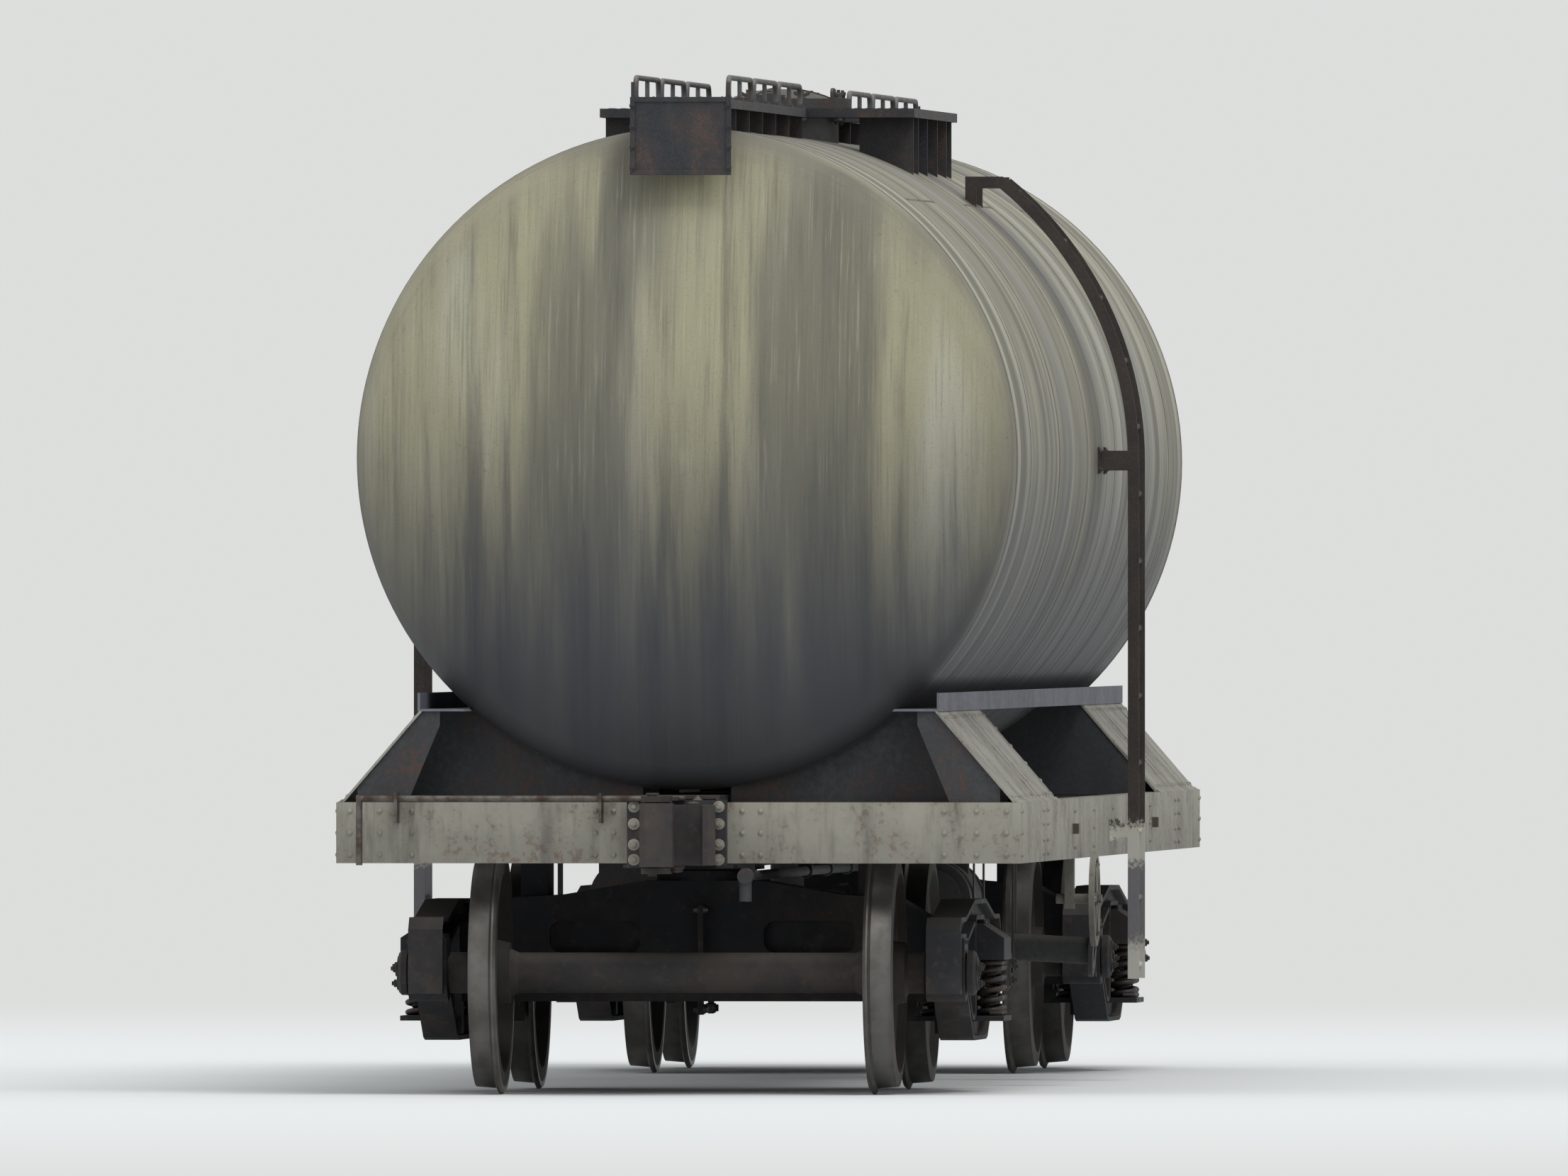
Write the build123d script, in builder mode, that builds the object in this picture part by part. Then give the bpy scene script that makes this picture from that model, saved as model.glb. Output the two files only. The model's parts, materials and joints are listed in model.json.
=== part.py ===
from build123d import *
import os
from math import asin, cos, degrees, pi, radians, sin, sqrt

# Eight-wheel bogie tank car for broad gauge, in millimetres.
# X runs along the car, Y across it and Z up. The wheel flanges reach down to z = 0,
# so the top of the rail is one flange height above that, and heights are counted from there.

# Running gear
tread_radius = 500
flange_height = 28.5
wheel_width = 127
flange_width = 32
back_to_back = 1600
hub_radius = 130
hub_length = 178
wheel_seat_radius = 105
rim_thickness = 65
wheel_web = 26
axle_body_radius = 88
journal_radius = 72
journal_offset = 203
bearing_radius = 125
bearing_length = 170
bearing_play = 0.05
bearing_end_gap = 8
end_cap_radius = 98
end_cap_length = 38
axle_spacing = 2000
bogie_inset = 1550

# Bogie frame, heights counted from the axle's centre
frame_width = 150
frame_top = 315
frame_bottom = -300
frame_rim = 20
frame_pocket = 42
pedestal_gap = 12
pedestal_clear = 25
horn_width = 78
window_gap = 20
window_corner = 24
spring_seat = -195
spring_radius = 64
spring_gap = 12
spring_turns = 5
bolster_half_width = 215
bolster_end_bottom = 50
bolster_end_top = 205
bolster_bottom = -20
bowl_base = 30
bowl_rim = 45
bowl_depth = 14
shoe_gap = 6
shoe_thickness = 50
beam_height = -100
beam_gap = 86.5

# Underframe, heights counted from the top of the rail
coupler_overhang = 464.5
frame_overhang = 5.5
sill_top = 1245
sill_bottom = 980
solebar_overhang = 50
solebar_flange = 90
plate = 12
sill_web = 15
centre_sill_half = 180
centre_sill_lip = 60
centre_sill_top = 1275
centre_sill_bottom = 960
centre_plate_height = 925
centre_plate_radius = 170
pivot_gap = 0.3
side_bearer_y = 740
side_bearer_gap = 6
bolster_half_length = 180

# Barrel and cradle
barrel_radius = 1440
barrel_floor = 1300
barrel_length = 11480
crown_radius = 2880
knuckle_radius = 173
seat_gap = 0.3
slope_inset = 20
slope_run = 340
slope_top = 1640
slope_length = 2500
slope_plate = 10
band_lip = 70
saddle_plate = 12

# Top, heights counted from the barrel's crown
deck_rise = 120
deck_half = 220
deck_setback = 140
deck_lip = 40
deck_plate = 6
end_plate_drop = 330
hoop_radius = 12
hoop_height = 95
hoop_bend = 60
manhole_bore = 250
manhole_wall = 14
manhole_rise = 150
neck_relief = 4
lid_lip = 56
lid_plate = 24
lid_gap = 0.3
hinge_reach = 32

# Side ladders
ladder_standoff = 157
ladder_depth = 50
ladder_half_width = 195
ladder_top_angle = 51
ladder_bottom = 430
stringer = 12
rung_radius = 11
rung_spacing = 300

# Couplers, measured from the pulling face
coupler_height = 1105
coupler_pin_inset = 285.5
shank_half_width = 65
shank_half_height = 75
coupler_pin_radius = 45
head_half_height = 130
knuckle_half_height = 138
knuckle_pin_radius = 20
knuckle_pin_x = -70
knuckle_pin_y = -80
knuckle_hub = 52
pin_play = 0.5

# Places worked out from the sizes above
rail = flange_height
axle_z = rail + tread_radius
end_x = barrel_length / 2 + frame_overhang
bogie_x = end_x - bogie_inset
sill_end = end_x - plate
slope_inner_x = sill_end - slope_length
pull_x = end_x + coupler_overhang
coupler_pin_back = coupler_overhang + coupler_pin_inset
coupler_z = rail + coupler_height
barrel_z = rail + barrel_floor + barrel_radius
crown_z = barrel_z + barrel_radius
straight = sqrt((crown_radius - knuckle_radius) ** 2 - (barrel_radius - knuckle_radius) ** 2)
dish_depth = crown_radius - straight
shell_end = barrel_length / 2 - dish_depth
solebar_face = barrel_radius + solebar_overhang
solebar_inner = solebar_face - solebar_flange
web_inner = solebar_face - plate
centre_sill_flange = centre_sill_half + centre_sill_lip
deck_z = crown_z + deck_rise
deck_end = barrel_length / 2 - deck_setback
inner_face = back_to_back / 2
outer_face = inner_face + wheel_width
journal_y = outer_face + journal_offset
ENDS = (("front", 1), ("rear", -1))

os.makedirs("parts", exist_ok=True)


def block(x_low, x_high, y_low, y_high, z_low, z_high, mode=Mode.ADD):
    """A box between a low and a high limit on each axis."""
    middle = ((x_low + x_high) / 2, (y_low + y_high) / 2, (z_low + z_high) / 2)
    with Locations(middle):
        Box(abs(x_high - x_low), abs(y_high - y_low), abs(z_high - z_low), mode=mode)


def bar(start, end, radius, mode=Mode.ADD):
    """A round bar from one point to another."""
    run = Vector(end) - Vector(start)
    with Locations(Plane(origin=Vector(start) + run / 2, z_dir=run)):
        Cylinder(radius, run.length, mode=mode)


def save(builder, name):
    """Label a finished piece and write it."""
    builder.part.label = name
    export_step(builder.part, f"parts/{name}.step")


def cross_plane(x):
    """A plane across the car at x: its own x is Y, and its own y is Z."""
    return Plane(origin=(x, 0, 0), x_dir=(0, 1, 0), z_dir=(1, 0, 0))


def side_plane(x, y, z):
    """A plane along the car through a point: its own x is X, its own y is Z, facing -Y."""
    return Plane(origin=(x, y, z), x_dir=(1, 0, 0), z_dir=(0, -1, 0))


# Wheelsets: wheels pressed on an axle with journals outside the wheels
hub_inner = inner_face - (hub_length - wheel_width) / 2
hub_outer = hub_inner + hub_length
rim_inner_radius = tread_radius - rim_thickness
journal_inner = journal_y - bearing_length / 2 - bearing_end_gap
journal_outer = journal_y + bearing_length / 2 + bearing_end_gap
flange_radius = tread_radius + flange_height
dish_foot = inner_face + 38
dish_head = inner_face + 62
AXLES = [
    (number, end, direction * bogie_x + side * axle_spacing / 2)
    for number, (end, direction, side) in enumerate(
        (("front", 1, 1), ("front", 1, -1), ("rear", -1, 1), ("rear", -1, -1)), start=1
    )
]
for number, end, axle_x in AXLES:
    axle_line = Axis((axle_x, 0, axle_z), (0, 1, 0))
    wheel_plane = Plane(origin=(axle_x, 0, axle_z), x_dir=(0, 1, 0), z_dir=(1, 0, 0))
    with BuildPart() as wheels:
        with BuildSketch(wheel_plane) as wheel_profile:
            with BuildLine():
                Polyline(
                    (hub_inner, wheel_seat_radius),
                    (hub_inner, hub_radius),
                    (dish_foot, hub_radius + 16),
                    (dish_head, rim_inner_radius - 22),
                    (inner_face, rim_inner_radius),
                    (inner_face, flange_radius - 10),
                    (inner_face + 12, flange_radius),
                    (inner_face + 20, flange_radius),
                    (inner_face + flange_width, tread_radius + 3),
                    (outer_face - 6, tread_radius - 4),
                    (outer_face, rim_inner_radius),
                    (dish_head + wheel_web, rim_inner_radius - 22),
                    (dish_foot + wheel_web + 8, hub_radius + 16),
                    (hub_outer, hub_radius),
                    (hub_outer, wheel_seat_radius),
                    close=True,
                )
            make_face()
        revolve(axis=axle_line)
        mirror(about=Plane.XZ)
    save(wheels, f"wheels_{number}")

    with BuildPart() as axle:
        with BuildSketch(wheel_plane) as axle_profile:
            with BuildLine():
                half = [
                    (journal_outer + end_cap_length, 0),
                    (journal_outer + end_cap_length, end_cap_radius - 12),
                    (journal_outer + end_cap_length - 12, end_cap_radius),
                    (journal_outer, end_cap_radius),
                    (journal_outer, journal_radius),
                    (journal_inner, journal_radius),
                    (journal_inner, journal_radius + 18),
                    (hub_outer + 12, journal_radius + 18),
                    (hub_outer, wheel_seat_radius),
                    (hub_inner, wheel_seat_radius),
                    (hub_inner - 40, axle_body_radius),
                ]
                Polyline(*half, *[(-y, r) for y, r in reversed(half)], close=True)
            make_face()
        revolve(axis=axle_line)
    save(axle, f"axle_{number}")

# Bogies: a bolster on springs between two cast side frames
seat_thickness = 22
spring_pitch = 2 * spring_radius + spring_gap
seat_half_width = spring_pitch * sqrt(3) / 2 + spring_radius + 8
pedestal_half = bearing_radius + pedestal_gap
pedestal_roof = bearing_radius + pedestal_clear
frame_end = axle_spacing / 2 + pedestal_half + horn_width
inner_jaw = axle_spacing / 2 - pedestal_half
window_half = bolster_half_width + window_gap
window_top = bolster_end_top + window_gap
column = window_half + 80
shoulder = pedestal_roof + 92
beam_x = axle_spacing / 2 - flange_radius - beam_gap
strut_reach = beam_x - 123
lever_x = beam_x - 95
lever_half = 28
core_hole_y = 470
bolster_top = centre_plate_height - tread_radius - bowl_base
bowl_radius = centre_plate_radius + bowl_rim
# Half outlines of a side frame and of its window: distance from the middle, height
frame_half = [
    (window_half + 95, frame_top),
    (inner_jaw, shoulder),
    (frame_end - 60, shoulder),
    (frame_end, shoulder - 52),
    (frame_end, -90),
    (frame_end - horn_width, -90),
    (frame_end - horn_width, pedestal_roof),
    (inner_jaw, pedestal_roof),
    (inner_jaw, -55),
    (inner_jaw - 60, -95),
    (window_half + 195, frame_bottom + 12),
    (window_half + 105, frame_bottom),
]
window_half_outline = [
    (column, frame_top - 110),
    (inner_jaw - 203, frame_top - 170),
    (inner_jaw - 88, pedestal_roof - 32),
    (inner_jaw - 88, -12),
    (inner_jaw - 408, spring_seat + 5),
    (column, spring_seat + 5),
]
spring_places = [
    (column_x * spring_pitch, row * spring_pitch * sqrt(3) / 2)
    for row, columns in ((-1, (-0.5, 0.5)), (0, (-1, 0, 1)), (1, (-0.5, 0.5)))
    for column_x in columns
]
spring_length = bolster_end_bottom - spring_seat
spring_rise = (spring_length - 2 * spring_gap) / spring_turns
coil_edge = [
    (spring_radius - spring_gap * (step % 2), spring_gap + spring_rise * step / 2)
    for step in range(2 * spring_turns + 1)
]
with BuildPart() as coil:
    with BuildSketch(Plane.XZ) as coil_profile:
        with BuildLine():
            Polyline(
                (0, 0), (spring_radius, 0), *coil_edge,
                (spring_radius, spring_length), (0, spring_length), close=True,
            )
        make_face()
    revolve(axis=Axis.Z)

for end, direction in ENDS:
    pivot_x = direction * bogie_x
    with BuildPart() as side_frames:
        for side in (-1, 1):
            frame_plane = side_plane(pivot_x, side * journal_y + frame_width / 2, axle_z)
            with BuildSketch(frame_plane) as frame_profile:
                with BuildLine():
                    Polyline(*frame_half, *[(-x, z) for x, z in reversed(frame_half)], close=True)
                make_face()
                with Locations((0, (window_top + spring_seat) / 2)):
                    Rectangle(2 * window_half, window_top - spring_seat, mode=Mode.SUBTRACT)
                for turn in (-1, 1):
                    with BuildLine():
                        Polyline(*[(turn * x, z) for x, z in window_half_outline], close=True)
                    make_face(mode=Mode.SUBTRACT)
                openings = frame_profile.face().inner_wires()
                fillet([corner for wire in openings for corner in wire.vertices()], window_corner)
            extrude(amount=frame_width)
            for depth, inward in ((0, 1), (frame_width, -1)):
                with BuildSketch(frame_plane.offset(depth)) as pocket:
                    add(frame_profile.sketch_local)
                    offset(amount=-frame_rim, kind=Kind.INTERSECTION)
                extrude(amount=inward * frame_pocket, mode=Mode.SUBTRACT)
            near = side * journal_y
            block(
                pivot_x - window_half, pivot_x + window_half,
                near - seat_half_width, near + seat_half_width,
                axle_z + spring_seat - seat_thickness, axle_z + spring_seat,
            )
            inner = side * (journal_y - frame_width / 2)
            for turn in (-1, 1):
                guide_x = pivot_x + turn * beam_x
                block(
                    guide_x - 55, guide_x + 55, inner - side * 20, inner + side * (frame_pocket + 8),
                    axle_z + frame_bottom + 30, axle_z + beam_height + 60,
                )
    save(side_frames, f"side_frames_{end}")

    with BuildPart() as bolster:
        with BuildSketch(cross_plane(pivot_x - bolster_half_width)) as bolster_profile:
            with BuildLine():
                bolster_end = journal_y + seat_half_width
                rise = [
                    (bolster_end, axle_z + bolster_end_bottom),
                    (bolster_end, axle_z + bolster_end_top - 60),
                    (bolster_end - 90, axle_z + bolster_end_top),
                    (journal_y - 90, axle_z + bolster_end_top),
                    (side_bearer_y + 110, axle_z + bolster_top - 75),
                    (side_bearer_y - 130, axle_z + bolster_top - 60),
                    (bowl_radius + 45, axle_z + bolster_top),
                ]
                floor = [
                    (journal_y - seat_half_width, axle_z + bolster_end_bottom),
                    (side_bearer_y, axle_z + bolster_bottom),
                ]
                right = list(reversed(floor)) + rise
                Polyline(*right, *[(-y, z) for y, z in reversed(right)], close=True)
            make_face()
        extrude(amount=2 * bolster_half_width)
        for face_x, inward in ((pivot_x - bolster_half_width, 1), (pivot_x + bolster_half_width, -1)):
            with BuildSketch(cross_plane(face_x)) as core_holes:
                with Locations((-core_hole_y, axle_z + 150), (core_hole_y, axle_z + 150)):
                    RectangleRounded(400, 140, 50)
            extrude(amount=inward * 60, mode=Mode.SUBTRACT)
        bowl_floor = rail + centre_plate_height - pivot_gap
        bowl_top = bowl_floor + bowl_depth
        with Locations((pivot_x, 0, (axle_z + bolster_top + bowl_top) / 2)):
            Cylinder(bowl_radius, bowl_top - axle_z - bolster_top)
        with Locations((pivot_x, 0, bowl_floor + bowl_depth / 2)):
            Cylinder(centre_plate_radius + 5, bowl_depth, mode=Mode.SUBTRACT)
        bearer_top = rail + centre_sill_bottom + sill_web - side_bearer_gap
        for side in (-1, 1):
            block(
                pivot_x - 150, pivot_x + 150, side * side_bearer_y - 60, side * side_bearer_y + 60,
                axle_z + bolster_top - 80, bearer_top,
            )
    save(bolster, f"bogie_bolster_{end}")

    with BuildPart() as springs:
        for side in (-1, 1):
            for spring_x, spring_y in spring_places:
                with Locations((pivot_x + spring_x, side * journal_y + spring_y, axle_z + spring_seat)):
                    add(coil.part)
    save(springs, f"springs_{end}")

    with BuildPart() as adapters:
        for turn in (-1, 1):
            for side in (-1, 1):
                box_x = pivot_x + turn * axle_spacing / 2
                box_y = side * journal_y
                block(
                    box_x - 110, box_x + 110, box_y - bearing_length / 2, box_y + bearing_length / 2,
                    axle_z + 60, axle_z + pedestal_roof,
                )
                ring_start = (box_x, box_y - bearing_length / 2, axle_z)
                ring_end = (box_x, box_y + bearing_length / 2, axle_z)
                bar(ring_start, ring_end, bearing_radius)
                bar(ring_start, ring_end, journal_radius + bearing_play, mode=Mode.SUBTRACT)
    save(adapters, f"bearing_adapters_{end}")

    with BuildPart() as brake_beams:
        guide_y = journal_y - frame_width / 2 - 20
        for turn in (-1, 1):
            wheel_x = pivot_x + turn * axle_spacing / 2
            back_x = pivot_x + turn * beam_x
            for side in (-1, 1):
                shoe_y = side * (outer_face - 10)
                shoe_plane = side_plane(wheel_x, max(shoe_y, shoe_y - side * 80), axle_z)
                with BuildSketch(shoe_plane) as shoe_profile:
                    Circle(tread_radius + shoe_gap + shoe_thickness)
                    Circle(tread_radius + shoe_gap, mode=Mode.SUBTRACT)
                    with BuildLine():
                        Polyline((0, 0), (-turn * 700, 120), (-turn * 700, -310), close=True)
                    make_face(mode=Mode.INTERSECT)
                extrude(amount=80)
                shoe_back = tread_radius + shoe_gap + shoe_thickness
                head_reach = wheel_x - turn * (sqrt(shoe_back**2 - beam_height**2) - 12)
                block(
                    back_x, head_reach, side * (outer_face - 30), side * (outer_face - 75),
                    axle_z + beam_height - 60, axle_z + beam_height + 70,
                )
            block(
                back_x - 25, back_x + 25, -guide_y, guide_y,
                axle_z + beam_height - 30, axle_z + beam_height + 30,
            )
            strut_x = pivot_x + turn * strut_reach
            block(
                strut_x, back_x, -40, 40, axle_z + beam_height - 18, axle_z + beam_height + 18,
            )
            for side in (-1, 1):
                bar(
                    (back_x, side * (inner_face - 0.5), axle_z + beam_height),
                    (strut_x + turn * 14, 0, axle_z + beam_height), 15,
                )
            lever = pivot_x + turn * lever_x
            block(lever - lever_half, lever + lever_half, -12, 12, axle_z - 190, axle_z + 290)
        bar((pivot_x - lever_x, 0, axle_z - 165), (pivot_x + lever_x, 0, axle_z - 165), 20)
    save(brake_beams, f"brake_beams_{end}")

# Barrel: a cylinder with a dished head at each end
crown_centre = barrel_length / 2 - crown_radius
crown_angle = degrees(asin((barrel_radius - knuckle_radius) / (crown_radius - knuckle_radius)))
knuckle_centre = barrel_radius - knuckle_radius
barrel_axis = Axis((0, 0, barrel_z), (1, 0, 0))
with BuildPart() as barrel:
    with BuildSketch(side_plane(0, 0, barrel_z)) as barrel_profile:
        with BuildLine():
            CenterArc((crown_centre, 0), crown_radius, 0, crown_angle)
            CenterArc((shell_end, knuckle_centre), knuckle_radius, crown_angle, 90 - crown_angle)
            Line((shell_end, barrel_radius), (-shell_end, barrel_radius))
            CenterArc((-shell_end, knuckle_centre), knuckle_radius, 90, 90 - crown_angle)
            CenterArc((-crown_centre, 0), crown_radius, 180 - crown_angle, crown_angle)
            Line((-barrel_length / 2, 0), (barrel_length / 2, 0))
        make_face()
    revolve(axis=barrel_axis)
save(barrel, "tank_barrel")


def barrel_drop(y):
    """Height of the barrel's underside above z = 0 at a distance y from the centre line."""
    return barrel_z - sqrt(barrel_radius**2 - y**2)


def cut_barrel_seat(x_low, x_high):
    """Cut the barrel's round seat out of the part that is being made."""
    bar((x_low, 0, barrel_z), (x_high, 0, barrel_z), barrel_radius + seat_gap, mode=Mode.SUBTRACT)


# Manhole: a flanged neck on top and a hinged lid
neck_top = crown_z + manhole_rise
neck_outer = manhole_bore + manhole_wall
lid_radius = neck_outer + lid_lip
lid_hinge_y = -lid_radius - hinge_reach
hinge_z = neck_top + 12
hinge_radius = 24
hinge_pin = 10
lid_ear = 50
neck_ear = 24
with BuildPart() as neck:
    neck_foot = barrel_z + sqrt(barrel_radius**2 - neck_outer**2) - 5
    with Locations((0, 0, (neck_foot + neck_top) / 2)):
        Cylinder(neck_outer, neck_top - neck_foot)
    with Locations((0, 0, neck_top - lid_plate / 2)):
        Cylinder(lid_radius, lid_plate)
    for side in (-1, 1):
        ear_inner = side * (lid_ear + 8)
        ear_outer = ear_inner + side * neck_ear
        block(
            ear_inner, ear_outer, lid_hinge_y - hinge_radius, -neck_outer - 10,
            neck_top - 30, neck_top - 1,
        )
        bar((ear_inner, lid_hinge_y, hinge_z), (ear_outer, lid_hinge_y, hinge_z), hinge_radius)
        block(
            ear_inner, ear_outer, lid_hinge_y - hinge_radius, lid_hinge_y + hinge_radius,
            neck_top - 10, hinge_z,
        )
    bar((-lid_ear - 10, lid_hinge_y, hinge_z), (lid_ear + 10, lid_hinge_y, hinge_z), hinge_pin)
    with Locations((0, 0, (neck_foot + neck_top) / 2)):
        Cylinder(manhole_bore, neck_top - neck_foot + 60, mode=Mode.SUBTRACT)
    crown_clear = crown_z + 2
    with Locations((0, 0, (neck_foot + crown_clear) / 2)):
        Cylinder(manhole_bore + neck_relief, crown_clear - neck_foot, mode=Mode.SUBTRACT)
    cut_barrel_seat(-600, 600)
save(neck, "manhole_neck")

dome_half = lid_radius - 90
dome_rise = 45
dome_radius = (dome_half**2 + dome_rise**2) / (2 * dome_rise)
dome_angle = degrees(asin(dome_half / dome_radius))
with BuildPart() as lid:
    lid_bottom = neck_top + lid_gap
    with Locations((0, 0, lid_bottom + lid_plate / 2)):
        Cylinder(lid_radius, lid_plate)
    with BuildSketch(side_plane(0, 0, lid_bottom + lid_plate)) as dome_profile:
        with BuildLine():
            CenterArc((0, dome_rise - dome_radius), dome_radius, 90 - dome_angle, dome_angle)
            Polyline((0, dome_rise), (0, 0), (dome_half, 0))
        make_face()
    revolve(axis=Axis.Z)
    bar((-lid_ear, lid_hinge_y, hinge_z), (lid_ear, lid_hinge_y, hinge_z), hinge_radius)
    block(-lid_ear, lid_ear, lid_hinge_y, -lid_radius + 30, lid_bottom, lid_bottom + lid_plate)
    bar(
        (-lid_ear, lid_hinge_y, hinge_z), (lid_ear, lid_hinge_y, hinge_z),
        hinge_pin + pin_play, mode=Mode.SUBTRACT,
    )
save(lid, "manhole_lid")

# Safety and vent valves in the gap of the walkway
valve_foot = crown_z - 4
# Place along the car, body radius, height
valve_table = [
    (640, 75, 190),
    (-640, 75, 190),
    (450, 45, 120),
]
with BuildPart() as valves:
    for valve_x, body_radius, height in valve_table:
        for radius, low, high in (
            (body_radius, 0, height),
            (body_radius + 30, 30, 52),
            (body_radius + 22, height - 50, height - 22),
        ):
            with Locations((valve_x, 0, valve_foot + (low + high) / 2)):
                Cylinder(radius, high - low)
    cut_barrel_seat(-900, 900)
save(valves, "top_valves")

# Walkway along the top: planks with lips turned down, brackets, pipe hoops and end plates
gap_end = 1000
cross_plank = 300
side_plank_inner = 430
side_plank_outer = 700
plank_gap = 5
# Low and high limits of each plank, along and across the car
planks = [
    (gap_end + cross_plank + plank_gap, deck_end, -deck_half, deck_half),
    (-deck_end, -gap_end - cross_plank - plank_gap, -deck_half, deck_half),
    (gap_end, gap_end + cross_plank, -side_plank_outer, side_plank_outer),
    (-gap_end - cross_plank, -gap_end, -side_plank_outer, side_plank_outer),
    (plank_gap - gap_end, gap_end - plank_gap, side_plank_inner, side_plank_outer),
    (plank_gap - gap_end, gap_end - plank_gap, -side_plank_outer, -side_plank_inner),
]
with BuildPart() as decks:
    for x_low, x_high, y_low, y_high in planks:
        block(x_low, x_high, y_low, y_high, deck_z - deck_lip, deck_z)
        block(
            x_low + deck_plate, x_high - deck_plate, y_low + deck_plate, y_high - deck_plate,
            deck_z - deck_lip, deck_z - deck_plate, mode=Mode.SUBTRACT,
        )
save(decks, "walkway_decks")

bracket_count = 6
bracket_half = 8
bracket_first = gap_end + cross_plank + 120
bracket_step = (shell_end - 50 - bracket_first) / (bracket_count - 1)
with BuildPart() as brackets:
    for direction in (-1, 1):
        for step in range(bracket_count):
            bracket_x = direction * (bracket_first + step * bracket_step)
            block(
                bracket_x - bracket_half, bracket_x + bracket_half,
                10 - deck_half, deck_half - 10, deck_z - deck_rise - 80, deck_z - deck_plate,
            )
        for bracket_x in (gap_end + 150, gap_end - 150, gap_end - 700):
            for side in (-1, 1):
                block(
                    direction * bracket_x - bracket_half, direction * bracket_x + bracket_half,
                    side * (side_plank_inner + 15), side * (side_plank_outer - 15),
                    deck_z - deck_rise - 210, deck_z - deck_plate,
                )
    cut_barrel_seat(-deck_end, deck_end)
save(brackets, "walkway_brackets")

with BuildPart() as end_plates:
    for end, direction in ENDS:
        plate_x = direction * deck_end
        plate_outer = plate_x + direction * 8
        block(plate_x, plate_outer, -deck_half, deck_half, deck_z - end_plate_drop, deck_z + 10)
        for side in (-1, 1):
            spike_y = side * (deck_half - 12)
            block(plate_x, plate_outer, spike_y - 8, spike_y + 8, deck_z, deck_z + 75)
save(end_plates, "walkway_end_plates")

hoop_count = 3
hoop_space = 150
hoop_first = gap_end + cross_plank + hoop_space
hoop_pitch = (deck_end - hoop_first + 70) / hoop_count
hoop_y = deck_half - hoop_radius - 6
hoop_top = deck_z + hoop_height
hoop_shoulder = hoop_top - hoop_bend
with BuildPart() as hoops:
    for direction in (-1, 1):
        for side in (-1, 1):
            for step in range(hoop_count):
                near_x = direction * (hoop_first + step * hoop_pitch)
                far_x = near_x + direction * (hoop_pitch - hoop_space)
                middle_x = (near_x + far_x) / 2
                rail_y = side * hoop_y
                for corner_x, inward in ((near_x, direction), (far_x, -direction)):
                    bend_x = corner_x + inward * hoop_bend
                    bar((corner_x, rail_y, deck_z), (corner_x, rail_y, hoop_shoulder), hoop_radius)
                    with BuildSketch(Plane(origin=(corner_x, rail_y, hoop_shoulder))) as hoop_section:
                        Circle(hoop_radius)
                    revolve(axis=Axis((bend_x, rail_y, hoop_shoulder), (0, inward, 0)), revolution_arc=90)
                    bar((bend_x, rail_y, hoop_top), (middle_x, rail_y, hoop_top), hoop_radius)
                bar((middle_x, rail_y, deck_z), (middle_x, rail_y, hoop_top), hoop_radius - 2)
save(hoops, "walkway_hoops")

# Side ladders that follow the barrel down to mid-height and then hang straight
ladder_radius = barrel_radius + ladder_standoff
ladder_outer = ladder_radius + ladder_depth / 2
ladder_inner = ladder_radius - ladder_depth / 2
ladder_low = rail + ladder_bottom
top_y = ladder_radius * cos(radians(ladder_top_angle))
top_z = barrel_z + ladder_radius * sin(radians(ladder_top_angle))
hook_y = top_y - 160
first_rung = ladder_low + 60
straight_rungs = int((barrel_z - first_rung) / rung_spacing) + 1
arc_step = degrees(rung_spacing / ladder_radius)
arc_first = degrees((first_rung + straight_rungs * rung_spacing - barrel_z) / ladder_radius)
for name, side in (("left", 1), ("right", -1)):
    with BuildPart() as ladder:
        for stringer_x in (-ladder_half_width, ladder_half_width - stringer):
            with BuildSketch(cross_plane(stringer_x)) as arc_profile:
                with Locations((0, barrel_z)):
                    Circle(ladder_outer)
                    Circle(ladder_inner, mode=Mode.SUBTRACT)
                with BuildLine():
                    reach = 2 * ladder_outer
                    Polyline(
                        (0, barrel_z),
                        (side * reach, barrel_z),
                        (
                            side * reach * cos(radians(ladder_top_angle)),
                            barrel_z + reach * sin(radians(ladder_top_angle)),
                        ),
                        close=True,
                    )
                make_face(mode=Mode.INTERSECT)
            extrude(amount=stringer)
            stringer_end = stringer_x + stringer
            block(stringer_x, stringer_end, side * ladder_inner, side * ladder_outer, ladder_low, barrel_z)
            block(
                stringer_x, stringer_end, side * hook_y, side * (top_y + 10),
                top_z - ladder_depth / 2, top_z + ladder_depth / 2,
            )
            block(
                stringer_x, stringer_end, side * hook_y, side * (hook_y + ladder_depth),
                top_z - 240, top_z + ladder_depth / 2,
            )
            block(
                stringer_x, stringer_end, side * (barrel_radius - 30), side * ladder_radius,
                barrel_z - 30, barrel_z + 30,
            )
            block(
                stringer_x, stringer_end, side * solebar_face, side * ladder_radius,
                rail + sill_bottom + 80, rail + sill_bottom + 140,
            )
        for rung in range(straight_rungs):
            rung_z = first_rung + rung * rung_spacing
            rung_y = side * ladder_radius
            bar((-ladder_half_width, rung_y, rung_z), (ladder_half_width, rung_y, rung_z), rung_radius)
        for step in range(int((ladder_top_angle - arc_first) / arc_step) + 1):
            turn = radians(arc_first + step * arc_step)
            rung_y = side * ladder_radius * cos(turn)
            rung_z = barrel_z + ladder_radius * sin(turn)
            bar((-ladder_half_width, rung_y, rung_z), (ladder_half_width, rung_y, rung_z), rung_radius)
        cut_barrel_seat(-600, 600)
    save(ladder, f"ladder_{name}")

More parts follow.
